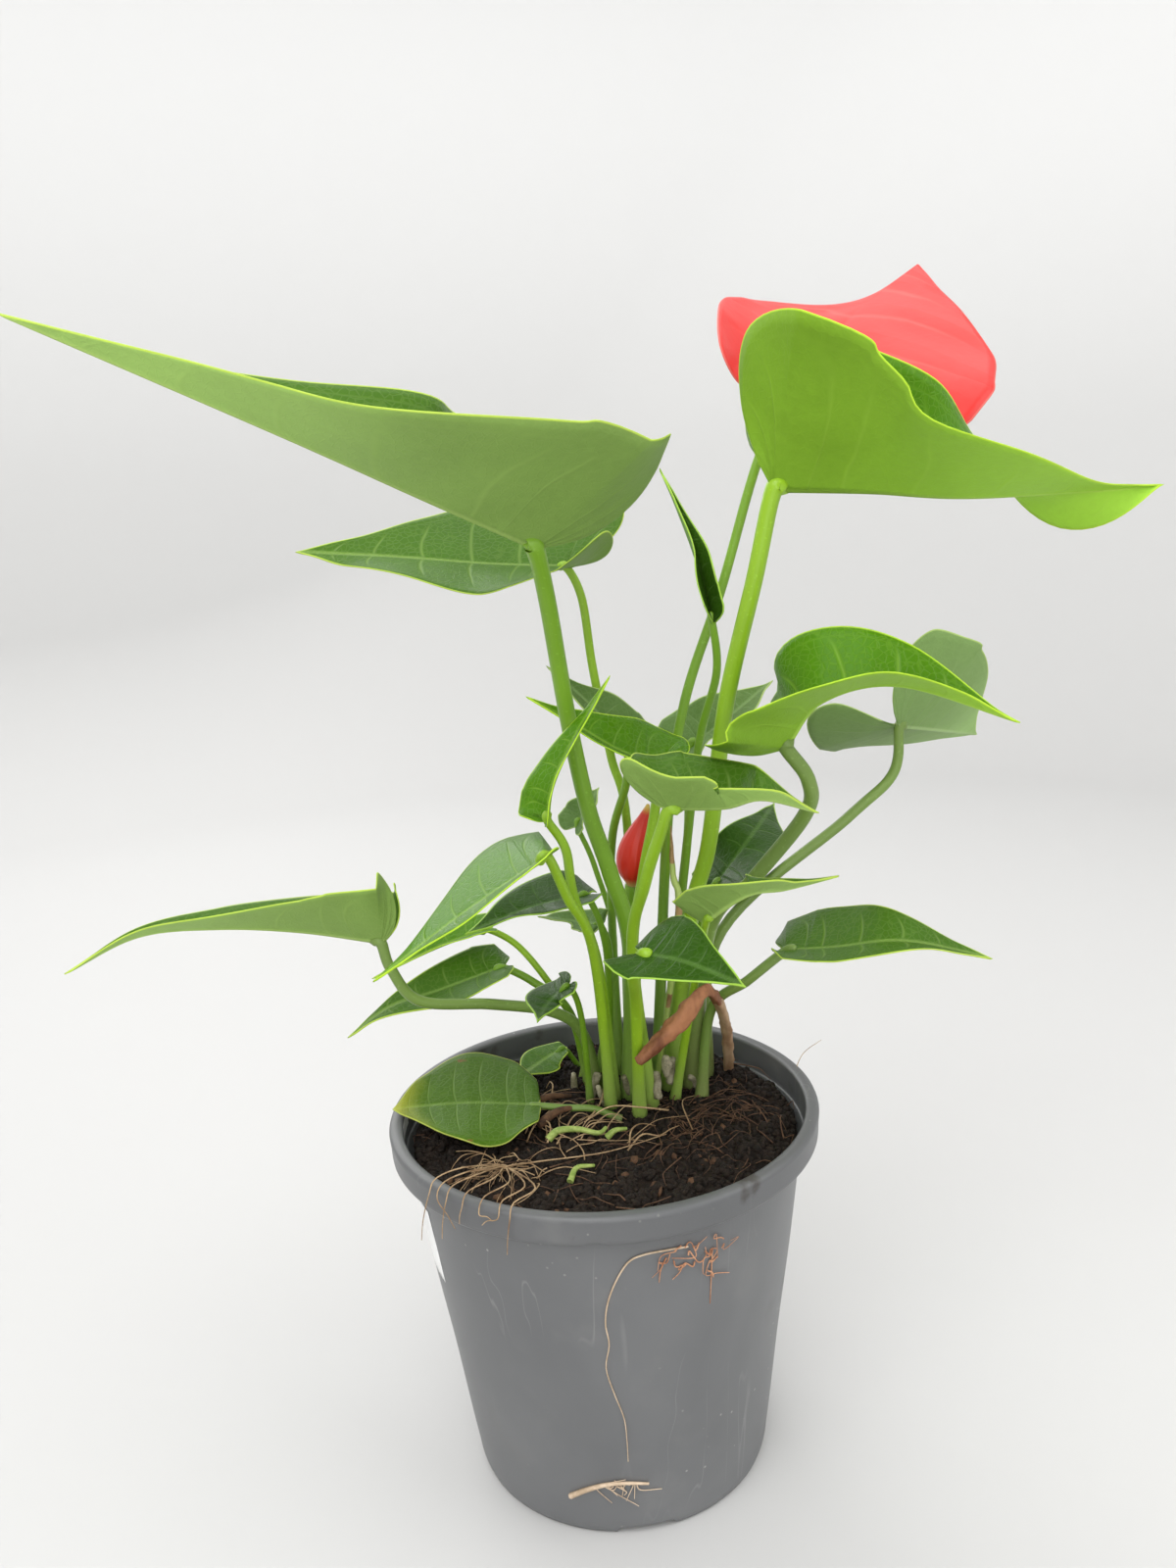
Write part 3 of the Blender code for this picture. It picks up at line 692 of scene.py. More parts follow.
@dataclass
class Tube:
    """A round or flattened rod along a line (mm)."""
    points: Sequence[Point]
    radii: Sequence[float]
    sides: int = 14
    steps: int = 40
    flat: float = 1.0
    wobble: float = 0.0
    shape: Optional[Callable[[float, float], float]] = None   # (climb, turn) to a radius factor

    def piece(self, name: str) -> Piece:
        """The closed rod, its ends domed."""
        line = spline(self.points, self.steps)
        sizes = spline([[r] for r in self.radii], self.steps)[:, 0]
        piece = Piece(name)
        ref = np.array([0.0, 1.0, 0.0])
        rings = []
        for k, p in enumerate(line):
            t = line[min(k + 1, self.steps - 1)] - line[max(k - 1, 0)]
            t = t / np.linalg.norm(t)
            ref = ref - ref.dot(t) * t
            ref /= np.linalg.norm(ref)
            side = np.cross(t, ref)
            climb = k / (self.steps - 1)
            ring = []
            for n in range(self.sides):
                w = 2 * math.pi * n / self.sides
                r = sizes[k] * (self.shape(climb, n / self.sides) if self.shape else 1.0)
                r *= 1 + self.wobble * noise.noise(Vector(p) * 0.35 + Vector((n * 0.6, 0, 0)))
                ring.append(piece.vert(p + r * (math.cos(w) * ref + math.sin(w) * side * self.flat),
                                       climb=climb, turn=n / self.sides))
            rings.append(ring)
        for a, b in zip(rings, rings[1:]):
            for n in range(self.sides):
                m = (n + 1) % self.sides
                piece.faces.append([a[n], a[m], b[m], b[n]])
        for ring, end, way in ((rings[0], 0, -1), (rings[-1], self.steps - 1, 1)):
            t = line[end] - line[end - way]
            cap = piece.vert(line[end] + t / np.linalg.norm(t) * sizes[end] * 0.5, climb=float(end > 0),
                             turn=0.5)
            for n in range(self.sides):
                m = (n + 1) % self.sides
                piece.faces.append([ring[m], ring[n], cap] if way < 0 else [ring[n], ring[m], cap])
        return piece


@dataclass(frozen=True)
class Leaf:
    """A blade on its own stalk."""
    midrib: tuple
    left: Half
    right: Half
    rise: float
    base: tuple
    stalk: tuple
    girth: tuple
    tone: Tone
    stem: StalkFinish
    wave: float = 0.45
    outline: tuple = HEART


LEAVES = {
    "01": Leaf(((-8, -45, 283), (-32, -62, 296), (-63, -64, 312), (-119, -69, 340)),
               Half(42, 27, (51, 24, 52), 5), Half(35, 30, (45, 50, 25), 5), 25,
               (9, 16), ((11, 0, 162), (6, -8, 189), (1, -13, 209), (-3, -18, 236), (-6, -34, 268)),
               (2.5, 2.1),
               Tone.MATURE, STALK_GREEN, 0.25),
    "02": Leaf(((-1, 30, 274), (-24, 32, 276), (-53, 31, 280), (-84, 40, 283)),
               Half(34, 16, (18, -15, -25)), Half(40, 19, (42, 38, 48)), 15,
               (11, 34), ((13, 32, 190), (9, 32, 215), (5, 31, 243), (3, 30, 264)), (1.4, 1.2),
               Tone.MATURE, STALK_FRESH, 0.9),
    "03": Leaf(((54, -20, 293), (79, -20, 291), (107, -22, 288), (161, -9, 288)),
               Half(38, 3, (40, 86, -150), 5, 0.22), Half(50, 6, (90, 32, 10), -16), -13,
               (22, 20), ((30, 12, 166), (36, 5, 192), (41, -8, 235), (49, -16, 270)), (2.5, 2.2),
               Tone.FRESH, STALK_FRESH, 0.8),
    "04": Leaf(((39, 0, 258), (37, 12, 273), (32, 20, 290), (28, 25, 301)),
               Half(9, 3, (66, 60, 45)), Half(8, 3, (74, 75, 60)), 15,
               (20, 30), ((31, 18, 192), (35, 9, 223), (40, 3, 243)), (1.4, 1.0),
               Tone.DEEP, STALK_GREEN, 0.2),
    "05": Leaf(((54, -30, 227), (63, -34, 239), (83, -35, 242), (113, -38, 231)),
               Half(25, 7, (5, 56, 62)), Half(27, 14, (27, 19, 38)), 37,
               (28.5, 20), ((35, 6, 164), (47, -8, 184), (60, -22, 206), (60, -28, 217)), (2.2, 1.9),
               Tone.FRESH, STALK_OLIVE, 0.3),
    "06": Leaf(((99, 30, 219), (115, 46, 214), (137, 74, 206)),
               Half(30, 20, (-17, -20, -20)), Half(34, 20, (61, 50, 44)), 25,
               (34, 28), ((40, 25, 156), (82, 28, 191), (97, 30, 204)), (1.8, 1.5),
               Tone.PALE, STALK_OLIVE),
    "07": Leaf(((22, -3, 218), (11, -3, 223), (0, -1, 230), (-15, 6, 239)),
               Half(11, 9, (3, 7, 20)), Half(17, 9, (25, 35, 36)), 22,
               (15, 20.5), ((12, 14, 154), (16, 6, 183), (20, 0, 203)), (1.7, 1.3),
               Tone.FRESH, STALK_FRESH, 0.3),
    "08": Leaf(((21, -50, 217), (35, -49, 216), (44, -55, 219), (59, -48, 213)),
               Half(20, 12, (25, 42, 60)), Half(14, 17, (47, 43, 33)), 30,
               (15, 8.5), ((11, -14, 166), (15, -33, 193), (19, -46, 210)), (1.8, 1.4),
               Tone.MATURE, STALK_FRESH, 0.3),
    "09": Leaf(((-10, -30, 211), (-8, -29, 220), (-2, -26, 231), (9, -19, 247)),
               Half(11, 2, (28, 14, 8)), Half(9, 2, (22, 26, 5)), 25,
               (4, 14.5), ((1, -8, 161), (-4.5, -20, 186), (-5.8, -27.5, 202)), (1.5, 1.1),
               Tone.FRESH, STALK_FRESH, 0.2),
    "10": Leaf(((14, 20, 219), (4, 21, 232), (-9, 26, 245)),
               Half(12, 6, (0, 0, 0)), Half(14, 6, (28, 40, 30)), 0,
               (6, 33), ((6.5, 38, 160), (8, 30, 189), (13, 24, 207)), (1.4, 1.2),
               Tone.PALE, STALK_GREEN, 0.3),
    "11": Leaf(((35, 45, 213), (49, 49, 222), (66, 68, 230)),
               Half(16, 7, (29, 38, 34)), Half(13, 7, (0, 8, 0)), 0,
               (25, 40), ((29, 42, 156), (33, 44, 185)), (1.5, 1.3),
               Tone.PALE, STALK_GREEN, 0.3),
    "12": Leaf(((-61, -10, 173), (-84, -8, 177), (-105, -16, 182), (-128, -16, 181), (-148, -21, 173)),
               Half(23, 11, (82, 38, 40), 3), Half(17, 10, (60, 24, 43)), 48,
               (-1.5, 19.5), ((-5, 16, 129), (-14, 12, 139), (-32, 4, 146), (-52, -5, 152), (-59, -9, 164)),
               (1.8, 1.5),
               Tone.MATURE, STALK_OLIVE, 0.2),
    "13": Leaf(((-10, -49, 206.5), (-33, -52, 193), (-56, -55, 178)),
               Half(12, 4, (18, 4, -20), 5), Half(33, 0.4, (-16, 9, -6), -5), 0,
               (2.5, 8.5), ((0, -18, 168), (-6, -36, 191)), (1.5, 1.2),
               Tone.FRESH, STALK_FRESH, 0.3),
    "14": Leaf(((-1, 0, 180), (-18, -3, 178), (-36, -17, 176)),
               Half(10, 4, (10, 0, -4)), Half(17, 4, (-15, 20, 18)), 0,
               (2, 20.5), ((4, 10, 149), (3, 4, 167)), (1.2, 0.9),
               Tone.DEEP, STALK_GREEN, 0.4),
    "15": Leaf(((3, 30, 160), (-8, 34, 161), (-17, 22, 167)),
               Half(8, 0.6, (5, -2, -14)), Half(7, 0.6, (27, 28, 16)), 15,
               (-1, 31.5), ((5, 31, 146),), (1.0, 0.8), Tone.PALE, STALK_GREEN, 0.2),
    "16": Leaf(((-29, 22, 151), (-49, 18, 146), (-64, 12, 144), (-78, 11, 135)),
               Half(16, 3, (15, -5, -25), 5), Half(13, 3, (-5, 33, 12)), 0,
               (-4, 26.5), ((-9, 23, 134), (-20, 23, 145)), (1.4, 1.1), Tone.MATURE, STALK_GREEN, 0.3),
    "17": Leaf(((-33, 30, 161), (-49, 28, 157), (-71, 24, 149)),
               Half(9, 2.5, (5, 18, 3)), Half(9, 2.5, (4, 26, 16)), 0,
               (-6, 33), ((-5, 32, 120), (-14, 31, 139), (-24, 31, 154)), (1.2, 1.0), Tone.FRESH,
               STALK_FRESH, 0.2),
    "18": Leaf(((-8, -10, 156), (-14, -12, 152), (-17, -26, 152)),
               Half(6, 2.5, (6, -4, 0)), Half(10, 2.5, (0, 12, 18), -8), 5,
               (-4, 13), ((-5, -2, 143),), (1.0, 0.8), Tone.DEEP, STALK_GREEN, 0.2),
    "19": Leaf(((12, -60, 183), (22, -68, 183), (31, -75, 181), (35, -81, 181)),
               Half(15, 6, (16, 34, 36), -10), Half(12, 6, (14, -14, -6)), -22,
               (11, 3), ((11, -20, 152), (10, -48, 173)), (1.7, 1.4), Tone.DEEP, STALK_FRESH, 0.3),
    "20": Leaf(((31, -30, 180), (41, -43, 191), (52, -37, 190), (69, -22, 188)),
               Half(12, 6, (20, 20, 20)), Half(11, 6, (42, 40, 22), 5), 38,
               (22.5, 12), ((30, -6, 157),), (1.3, 1.0), Tone.MATURE, STALK_FRESH, 0.2),
    "21": Leaf(((57, 0, 159), (71, -3, 160), (91, -7, 162), (120, 3, 151)),
               Half(21, 3.5, (-5, 30, 62), -8), Half(13, 3.5, (22, -5, 0), 5), 0,
               (31, 12.5), ((35, 10, 137), (46, 3, 149)), (1.6, 1.4), Tone.MATURE, STALK_OLIVE, 0.3),
    "22": Leaf(((40, 35, 169), (53, 41, 183), (65, 66, 188)),
               Half(14, 2.5, (-12, 24, 22), -8), Half(20, 2.5, (34, -10, 0), 5), 8,
               (29, 36), ((34, 36, 151),), (1.6, 1.3), Tone.DEEP, STALK_GREEN, 0.5),
    "23": Leaf(((-20, 2, 113), (-42, 1, 115.5), (-64, -2, 116.5)),
               Half(23, 2.5, (5, -4, 0)), Half(27, 2.5, (0, 10, 14)), 0,
               (5, 2.5), ((-3, 2, 110.5), (-12, 2, 111.5)), (1.1, 1.0), Tone.FADED, STALK_OLIVE, 0.8, OVAL),
    "24": Leaf(((-12, 37, 115.5), (-19, 34, 113), (-26, 24, 112.5)),
               Half(8, 2, (12, -6, 0)), Half(7, 2, (5, 14, 0)), 0,
               (-7, 40), (), (0.9, 0.8), Tone.MATURE, STALK_GREEN, 0.2, OVAL),
    "25": Leaf(((-3, 44, 190), (1, 46, 196), (5, 54, 200)),
               Half(9, 3, (16, 30, 25)), Half(6, 3, (0, 10, 0)), 0,
               (0, 45), ((7, 46, 147), (2, 45, 175)), (1.0, 0.8), Tone.PALE, STALK_GREEN, 0.2),
}
STEM_START = 107.4


@dataclass
class Foliage:
    """All the leaves and their stalks."""
    rows: int = 85
    cols: int = 16

    def build(self) -> None:
        """Make every blade and stalk in its own finish."""
        skins = {tone: finish.material() for tone, finish in LEAF_FINISHES.items()}
        stems = {f.name: f.material() for f in (STALK_FRESH, STALK_GREEN, STALK_OLIVE)}
        for n, (key, leaf) in enumerate(LEAVES.items()):
            blade = Blade(leaf.midrib, leaf.left, leaf.right, leaf.rise, leaf.outline, wave=leaf.wave,
                          seed=float(n))
            small = blade.length < 45
            blade.rib = 0.3 if small else 0.55
            piece = blade.piece("blade_" + key, 57 if small else self.rows, 11 if small else self.cols)
            slot = "young_leaf" if key in ("04", "23") else "leaf_green"
            piece.build(skins[leaf.tone], slot=slot, nodes=["leaf_" + key])
            self.stalk(leaf, blade).piece("stem_" + key).build(
                stems[leaf.stem.name], slot="stalk_green", nodes=["stalk_" + key])

    @staticmethod
    def stalk(leaf: Leaf, blade: Blade) -> Tube:
        """The stalk, from just under the soil into the blade's midrib."""
        foot, top = leaf.girth
        start = (*leaf.base, STEM_START - 1.2)
        end = blade.line[0] - np.array([0.0, 0.0, 0.25 * top])
        onward = blade.at(3.0) - np.array([0.0, 0.0, 0.55])
        path = [start, *leaf.stalk, tuple(end), tuple(onward)]

        def girth(climb: float, turn: float) -> float:
            """Radius along the stalk."""
            flare = 1 + 0.55 * math.exp(-climb / 0.05)
            joint = 1 + 0.16 * math.exp(-((climb - 0.88) / 0.05) ** 2)
            ease = 1 - 0.62 * smooth(climb, 0.955, 1.0)
            return flare * joint * ease * (1 + 0.04 * math.cos(2 * math.pi * turn))

        return Tube(path, (foot, foot * 0.6 + top * 0.4, top), 12, max(26, 9 * len(path)), shape=girth)


# -------------------------------------------------------------------- flowers
@dataclass
class Flowers:
    """The open flower and the furled one."""
    line: tuple = ((70, 31, 322), (82, 40, 335), (93, 49, 345), (115, 66, 359))
    left: Half = Half(33, 22, (95, 30, -42), 5)
    right: Half = Half(56, 20, (-9, -9, -25), -25)
    peduncle: tuple = ((18, 25.5, STEM_START - 1), (25, 26, 190), (32, 26, 230), (45, 27, 265),
                       (58, 29, 303), (69.4, 30.7, 321.2))
    spadix: tuple = ((74, 26, 326), (74, 24.5, 330.5), (74, 23, 335))
    bud: tuple = ((13, 15, 177.5), (15, 14, 190), (19, 13, 203))
    bud_stalk: tuple = ((10, 26, STEM_START - 1), (11, 19, 150), (12.6, 15.6, 177.4))

    def build(self) -> None:
        """Make the spathe, spadix, bud and their stems."""
        coral = WaxFinish("spathe_wax", (0.70, 0.024, 0.018), (0.90, 0.085, 0.078),
                          (0.93, 0.25, 0.21)).material()
        blade = Blade(self.line, self.left, self.right, 0, SPATHE, 0.7, 0.5, 2.0, 0.35)
        blade.piece("spathe_skin", 101, 22).build(coral, slot="spathe_coral", nodes=["spathe"])
        stem = STALK_GREEN.material()
        Tube(self.peduncle, (1.7, 1.5, 1.4), 14, 60, shape=lambda c, t: 1 + 0.5 * math.exp(-c / 0.04)).piece(
            "flower_stem").build(stem, slot="stalk_green", nodes=["peduncle"])
        self._spadix()
        self._bud(stem)

    def _spadix(self) -> None:
        """The finely bumpy spadix."""
        def knobs(climb: float, turn: float) -> float:
            """Rows of fine knobs."""
            row = climb * 34
            shift = 0.5 * (int(row) % 2)
            return 1 + 0.07 * math.sin(math.pi * row) * math.sin(2 * math.pi * (turn * 9 + shift))

        Tube(self.spadix, (2.4, 3.1, 2.9, 1.4), 54, 100, shape=knobs).piece("spadix_body").build(
            SPADIX.material(), slot="spadix_yellow", nodes=["spadix"])

    def _bud(self, stem: bpy.types.Material) -> None:
        """The rolled bud, its spiral edge standing proud."""
        def roll(climb: float, turn: float) -> float:
            """The spiral edge of the roll."""
            lap = (turn + 0.35 * climb + 0.1) % 1.0
            proud = 0.13 * (1 - lap) * smooth(lap, 0.0, 0.04)
            return 1 + proud * smooth(climb, 0.0, 0.2) * (1 - smooth(climb, 0.85, 1.0))

        Tube(self.bud, (1.7, 4.4, 5.3, 4.9, 3.6, 1.9, 0.5), 64, 60, shape=roll).piece("bud_roll").build(
            BudFinish().material(), slot="bud_red", nodes=["bud_spathe"])
        Tube(self.bud_stalk, (2.2, 2.5, 1.9), 16, 34).piece("bud_stem").build(
            stem, slot="stalk_green", nodes=["bud_stalk"])


# --------------------------------------------------------------- dry old parts
@dataclass
class OldGrowth:
    """The papery sheath, the dead stalk and the nubs at the crown."""
    sheath: tuple = ((16.5, 14.5, STEM_START - 0.6), (26, 7, 168), (25, 6, 183), (25, 5, 198))
    dead: tuple = ((42, 31, STEM_START - 0.8), (39, 8, 135), (32, -8, 151), (23, -12, 143), (11, -15, 133))

    def build(self) -> None:
        """Make the dry pieces."""
        def leafy(climb: float, turn: float) -> float:
            """Shape of the sheath."""
            return 1 + 0.35 * smooth(climb, 0.5, 0.75) * math.cos(2 * math.pi * turn)

        dry_edge = MatterFinish("sheath_edge", (0.16, 0.08, 0.03), (0.40, 0.26, 0.12), 0.7, 150.0, 0.0003)
        Tube(self.sheath, (1.5, 1.9, 1.9, 1.3, 0.3), 16, 44, 0.55, 0.25, leafy).piece("sheath_leaf").build(
            SHEATH.material(), dry_edge.material(), slot="sheath_pale", nodes=["sheath"],
            paint=lambda c: int(c.z > 186 or noise.noise(c * 0.25) > 0.32))

        def crease(climb: float, turn: float) -> float:
            """Creases of the dead stalk."""
            ribs = 1 + 0.16 * math.cos(6 * math.pi * turn + 5 * climb)
            return ribs * (1 + 0.25 * smooth(climb, 0.45, 0.7))

        Tube(self.dead, (2.0, 2.1, 1.7, 2.2, 1.2), 18, 60, 0.75, 0.35, crease).piece("dead_stem").build(
            DEAD.material(), DEAD_PALE.material(), slot="dead_brown", nodes=["dead_stalk"],
            paint=lambda c: int(c.x > 35 and c.z < 144))
        self._nubs()

    def _nubs(self) -> None:
        """Short pale stubs of old stems and aerial roots round the crown."""
        rng = random.Random(11)
        piece = Piece("crown_nubs")
        spots = ((17, 4, 116), (20, 2, 124), (19, 6, 132), (1, 10, 110), (-4, 14, 112), (24, 14, 112),
                 (30, 18, 111),
                 (4, 20, 112), (-9, 22, 110), (14, 8, 110), (8, 12, 114), (21, 10, 118))
        for x, y, z in spots:
            lean = (rng.uniform(-3, 3), rng.uniform(-3, 1), rng.uniform(2, 5))
            size = rng.uniform(1.1, 1.9)
            tube = Tube(((x, y, z - 4), (x + lean[0] * 0.5, y + lean[1] * 0.5, z),
                         (x + lean[0], y + lean[1], z + lean[2])),
                        (size * 0.8, size, size * 0.75), 10, 10, 0.9, 0.5).piece("nub")
            base = len(piece.verts)
            for k, v in enumerate(tube.verts):
                piece.vert(v, climb=tube.marks["climb"][k], turn=tube.marks["turn"][k])
            piece.faces += [[q + base for q in f] for f in tube.faces]
        piece.build(NUB.material(), slot="sheath_pale")


# ------------------------------------------------------------------------ pot
@dataclass
class Pot:
    """The tapered nursery pot (mm)."""
    rim: float = 65.0
    height: float = 114.0
    band: float = 8.5
    top: float = 60.0
    foot: float = 45.7
    wall: float = 1.3
    floor: float = 2.0
    sides: int = 240

    def radius(self, z: float) -> float:
        """The body's outside radius at a height."""
        return self.foot + (self.top - self.foot) * (z - 2.4) / (self.height - self.band - 2.4)

    def on_wall(self, turn: float, z: float, out: float = 0.0) -> Point:
        """A point on the outside at an angle (degrees) and height."""
        lip = smooth(z, self.height - self.band - 0.6, self.height - self.band + 0.6)
        r = self.radius(min(z, self.height - self.band)) * (1 - lip) + (self.rim - 0.15) * lip + out
        return (r * math.cos(math.radians(turn)), r * math.sin(math.radians(turn)), z)

    def build(self) -> None:
        """Make the pot and its blank label."""
        edge = self.height - self.band
        outer = [(0, 0), (self.foot - 6, 0), (self.foot - 3.4, 0), (self.foot - 1.6, 0.15),
                 (self.foot - 0.6, 0.8),
                 (self.foot, 2.4), (self.foot + 0.35, 4.0)]
        outer += [(self.radius(z) + 0.12 * math.sin(z * 0.11), z) for z in np.linspace(7, edge - 2.2, 22)]
        outer += [(self.top - 0.1, edge - 0.9), (self.top + 0.5, edge - 0.25), (self.rim - 1.3, edge - 0.05),
                  (self.rim - 0.75, edge + 0.15), (self.rim - 0.45, edge + 0.7),
                  (self.rim - 0.35, edge + 1.6),
                  (self.rim - 0.25, edge + 4.6), (self.rim - 0.05, edge + 6.6),
                  (self.rim, self.height - 1.3),
                  (self.rim - 0.3, self.height - 0.5), (self.rim - 1.0, self.height - 0.05),
                  (self.rim - 2.2, self.height),
                  (self.rim - 3.3, self.height - 0.1), (self.rim - 3.9, self.height - 0.55),
                  (self.rim - 4.1, self.height - 1.3), (self.rim - 4.15, edge + 1.0),
                  (self.rim - 4.6, edge - 0.6)]
        outer += [(self.radius(z) - self.wall, z) for z in np.linspace(edge - 2.5, 8, 10)]
        outer += [(self.foot - self.wall - 0.6, self.floor + 1.4),
                  (self.foot - self.wall - 2.4, self.floor + 0.1), (0, self.floor)]
        piece = Piece("pot_shell")
        rings = []
        for k, (r, z) in enumerate(outer):
            if r == 0:
                rings.append([piece.vert((0.0, 0.0, z), lip=0.0)] * self.sides)
                continue
            ring = []
            for n in range(self.sides):
                w = 2 * math.pi * n / self.sides
                turn = math.degrees(w)
                lift = self._slot(turn) * (1 - smooth(z, 1.2, 3.0)) * float(k > 1 and k < 7)
                dip = self._nick(turn) * math.exp(-((z - edge) / 0.7) ** 2)
                ring.append(piece.vert(((r - dip) * math.cos(w), (r - dip) * math.sin(w), z + lift),
                                       lip=smooth(z, edge - 1, edge + 1)))
            rings.append(ring)
        for a, b in zip(rings, rings[1:]):
            for n in range(self.sides):
                m = (n + 1) % self.sides
                ring4 = [a[n], a[m], b[m], b[n]]
                face = [q for i, q in enumerate(ring4) if q != ring4[i - 1]]
                piece.faces.append(face)
        piece.build(PotFinish().material(), slot="pot_grey", nodes=["pot"])
        self._label()

    @staticmethod
    def _slot(turn: float) -> float:
        """Height of one of the three shallow slots in the foot at an angle."""
        away = min(abs((turn - c + 180) % 360 - 180) for c in (37.0, 157.0, 277.0))
        return 1.2 * (1 - smooth(away, 9.5, 11.0))

    @staticmethod
    def _nick(turn: float) -> float:
        """Depth of a small moulding nick under the band."""
        return 1.3 * (1 - smooth(abs((turn + 93.6 + 180) % 360 - 180), 0.8, 1.5))

    def _label(self) -> None:
        """A blank sticker at the left, and a scrap of one inside the rim."""
        piece = Piece("blank_label_patch")
        patches = ((-153.0, -177.0, 72.0, 96.0, 0.12, True), (176.0, 186.0, 108.5, 112.6, 0.1, False))
        for first, last, low, high, out, outside in patches:
            grid = []
            for i in range(13):
                row = []
                for j in range(9):
                    turn, z = first + (last - first) * i / 12, low + (high - low) * j / 8
                    skins = []
                    for lift in (0.02, out):
                        if outside:
                            skins.append(self.on_wall(turn, z, lift))
                        else:
                            r = self.rim - 4.12 - lift
                            skins.append((r * math.cos(math.radians(turn)),
                                          r * math.sin(math.radians(turn)), z))
                    row.append([piece.vert(p, lip=0.0) for p in skins])
                grid.append(row)
            flip = outside == (last < first)
            for layer in (0, 1):
                for i in range(12):
                    for j in range(8):
                        face = [grid[i][j][layer], grid[i][j + 1][layer], grid[i + 1][j + 1][layer],
                                grid[i + 1][j][layer]]
                        piece.faces.append(face if (layer == 1) == flip else face[::-1])
            border = [(i, 0) for i in range(12)] + [(12, j) for j in range(8)]
            border += [(i, 8) for i in range(12, 0, -1)] + [(0, j) for j in range(8, 0, -1)]
            for (i, j), (k, m) in zip(border, border[1:] + border[:1]):
                face = [grid[i][j][0], grid[k][m][0], grid[k][m][1], grid[i][j][1]]
                piece.faces.append(face[::-1] if flip else face)
        piece.build(LABEL.material(), slot="pot_grey")


# --------------------------------------------------------------- scatter trees
class Scatter:
    """Geometry Nodes that repeat a shape over a surface or along lines."""

    def __init__(self, name: str) -> None:
        """Start a geometry tree with a mesh in and a mesh out."""
        self.tree = bpy.data.node_groups.new(name, "GeometryNodeTree")
        self.tree.interface.new_socket("Geometry", in_out="INPUT", socket_type="NodeSocketGeometry")
        self.tree.interface.new_socket("Geometry", in_out="OUTPUT", socket_type="NodeSocketGeometry")
        self.sizes: dict[str, tuple[str, float]] = {}
        self.given = self.tree.nodes.new("NodeGroupInput")
        self.result = self.tree.nodes.new("NodeGroupOutput")

    def size(self, name: str, amount: float, kind: str = "NodeSocketFloat") -> Any:
        """Add a named input with its value and return its socket."""
        socket = self.tree.interface.new_socket(name, in_out="INPUT", socket_type=kind)
        self.sizes[name] = (socket.identifier, amount)
        return self.given.outputs[name]

    def add(self, kind: str, settings: dict[str, Any], inputs: dict[Any, Any]) -> Any:
        """Add a node with its settings and its values or links."""
        node = self.tree.nodes.new(kind)
        for key, setting in settings.items():
            setattr(node, key, setting)
        for key, given in inputs.items():
            if isinstance(given, bpy.types.NodeSocket):
                self.tree.links.new(given, node.inputs[key])
            else:
                node.inputs[key].default_value = given
        return node

    def finish(self, source: bpy.types.Object, geometry: Any, material: bpy.types.Material, name: str,
               slot: str) -> bpy.types.Object:
        """Realize, set the material, run the tree once and keep the plain mesh."""
        real = self.add("GeometryNodeRealizeInstances", {}, {"Geometry": geometry})
        dress = self.add("GeometryNodeSetMaterial", {}, {"Geometry": real.outputs[0], "Material": material})
        self.tree.links.new(dress.outputs[0], self.result.inputs[0])
        modifier = source.modifiers.new("scatter", "NODES")
        modifier.node_group = self.tree
        for identifier, amount in self.sizes.values():
            modifier[identifier] = amount
        bpy.context.view_layer.update()
        graph = bpy.context.evaluated_depsgraph_get()
        mesh = bpy.data.meshes.new_from_object(source.evaluated_get(graph))
        source.modifiers.remove(modifier)
        bpy.data.objects.remove(source)
        mesh.name = name
        mesh.polygons.foreach_set("use_smooth", [True] * len(mesh.polygons))
        obj = bpy.data.objects.new(name, mesh)
        bpy.context.scene.collection.objects.link(obj)
        return hook(obj)


def strands(name: str, lines: Sequence[tuple[Sequence[Point], float]], finish: MatterFinish, slot: str,
            sides: int = 5) -> bpy.types.Object:
    """Thin fibres along lines.

    Args:
        name: The piece's name.
        lines: Points (mm) and radius (mm) of each fibre.
        finish: Its finish.
        slot: Not used.
        sides: Sides of a fibre.

    Returns:
        The piece.
    """
    verts: list[Any] = []
    edges: list[tuple[int, int]] = []
    radii: list[float] = []
    for points, radius in lines:
        curve = spline(points, max(8, 4 * len(points)))
        for k, p in enumerate(curve):
            if k:
                edges.append((len(verts) - 1, len(verts)))
            verts.append(tuple(c * MM for c in p))
            radii.append(radius * MM * (1.0 - 0.55 * k / (len(curve) - 1)))
    mesh = bpy.data.meshes.new(name + "_lines")
    mesh.from_pydata(verts, edges, [])
    mesh.attributes.new("girth", "FLOAT", "POINT").data.foreach_set("value", radii)
    source = bpy.data.objects.new(name + "_lines", mesh)
    bpy.context.scene.collection.objects.link(source)
    tree = Scatter(name)
    girth = tree.add("GeometryNodeInputNamedAttribute", {"data_type": "FLOAT"}, {"Name": "girth"})
    curve_node = tree.add("GeometryNodeMeshToCurve", {}, {"Mesh": tree.given.outputs[0]})
    ring = tree.add("GeometryNodeCurvePrimitiveCircle", {},
                    {"Resolution": tree.size("Sides", sides, "NodeSocketInt"), "Radius": 1.0})
    tube = tree.add("GeometryNodeCurveToMesh", {},
                    {"Curve": curve_node.outputs[0], "Profile Curve": ring.outputs[0],
                                                    "Fill Caps": True})
    if "Scale" in tube.inputs:
        tree.tree.links.new(girth.outputs[0], tube.inputs["Scale"])
    else:
        sized = tree.add("GeometryNodeSetCurveRadius", {},
                         {"Curve": curve_node.outputs[0], "Radius": girth.outputs[0]})
        tree.tree.links.new(sized.outputs[0], tube.inputs["Curve"])
    return tree.finish(source, tube.outputs[0], finish.material(), name, slot)


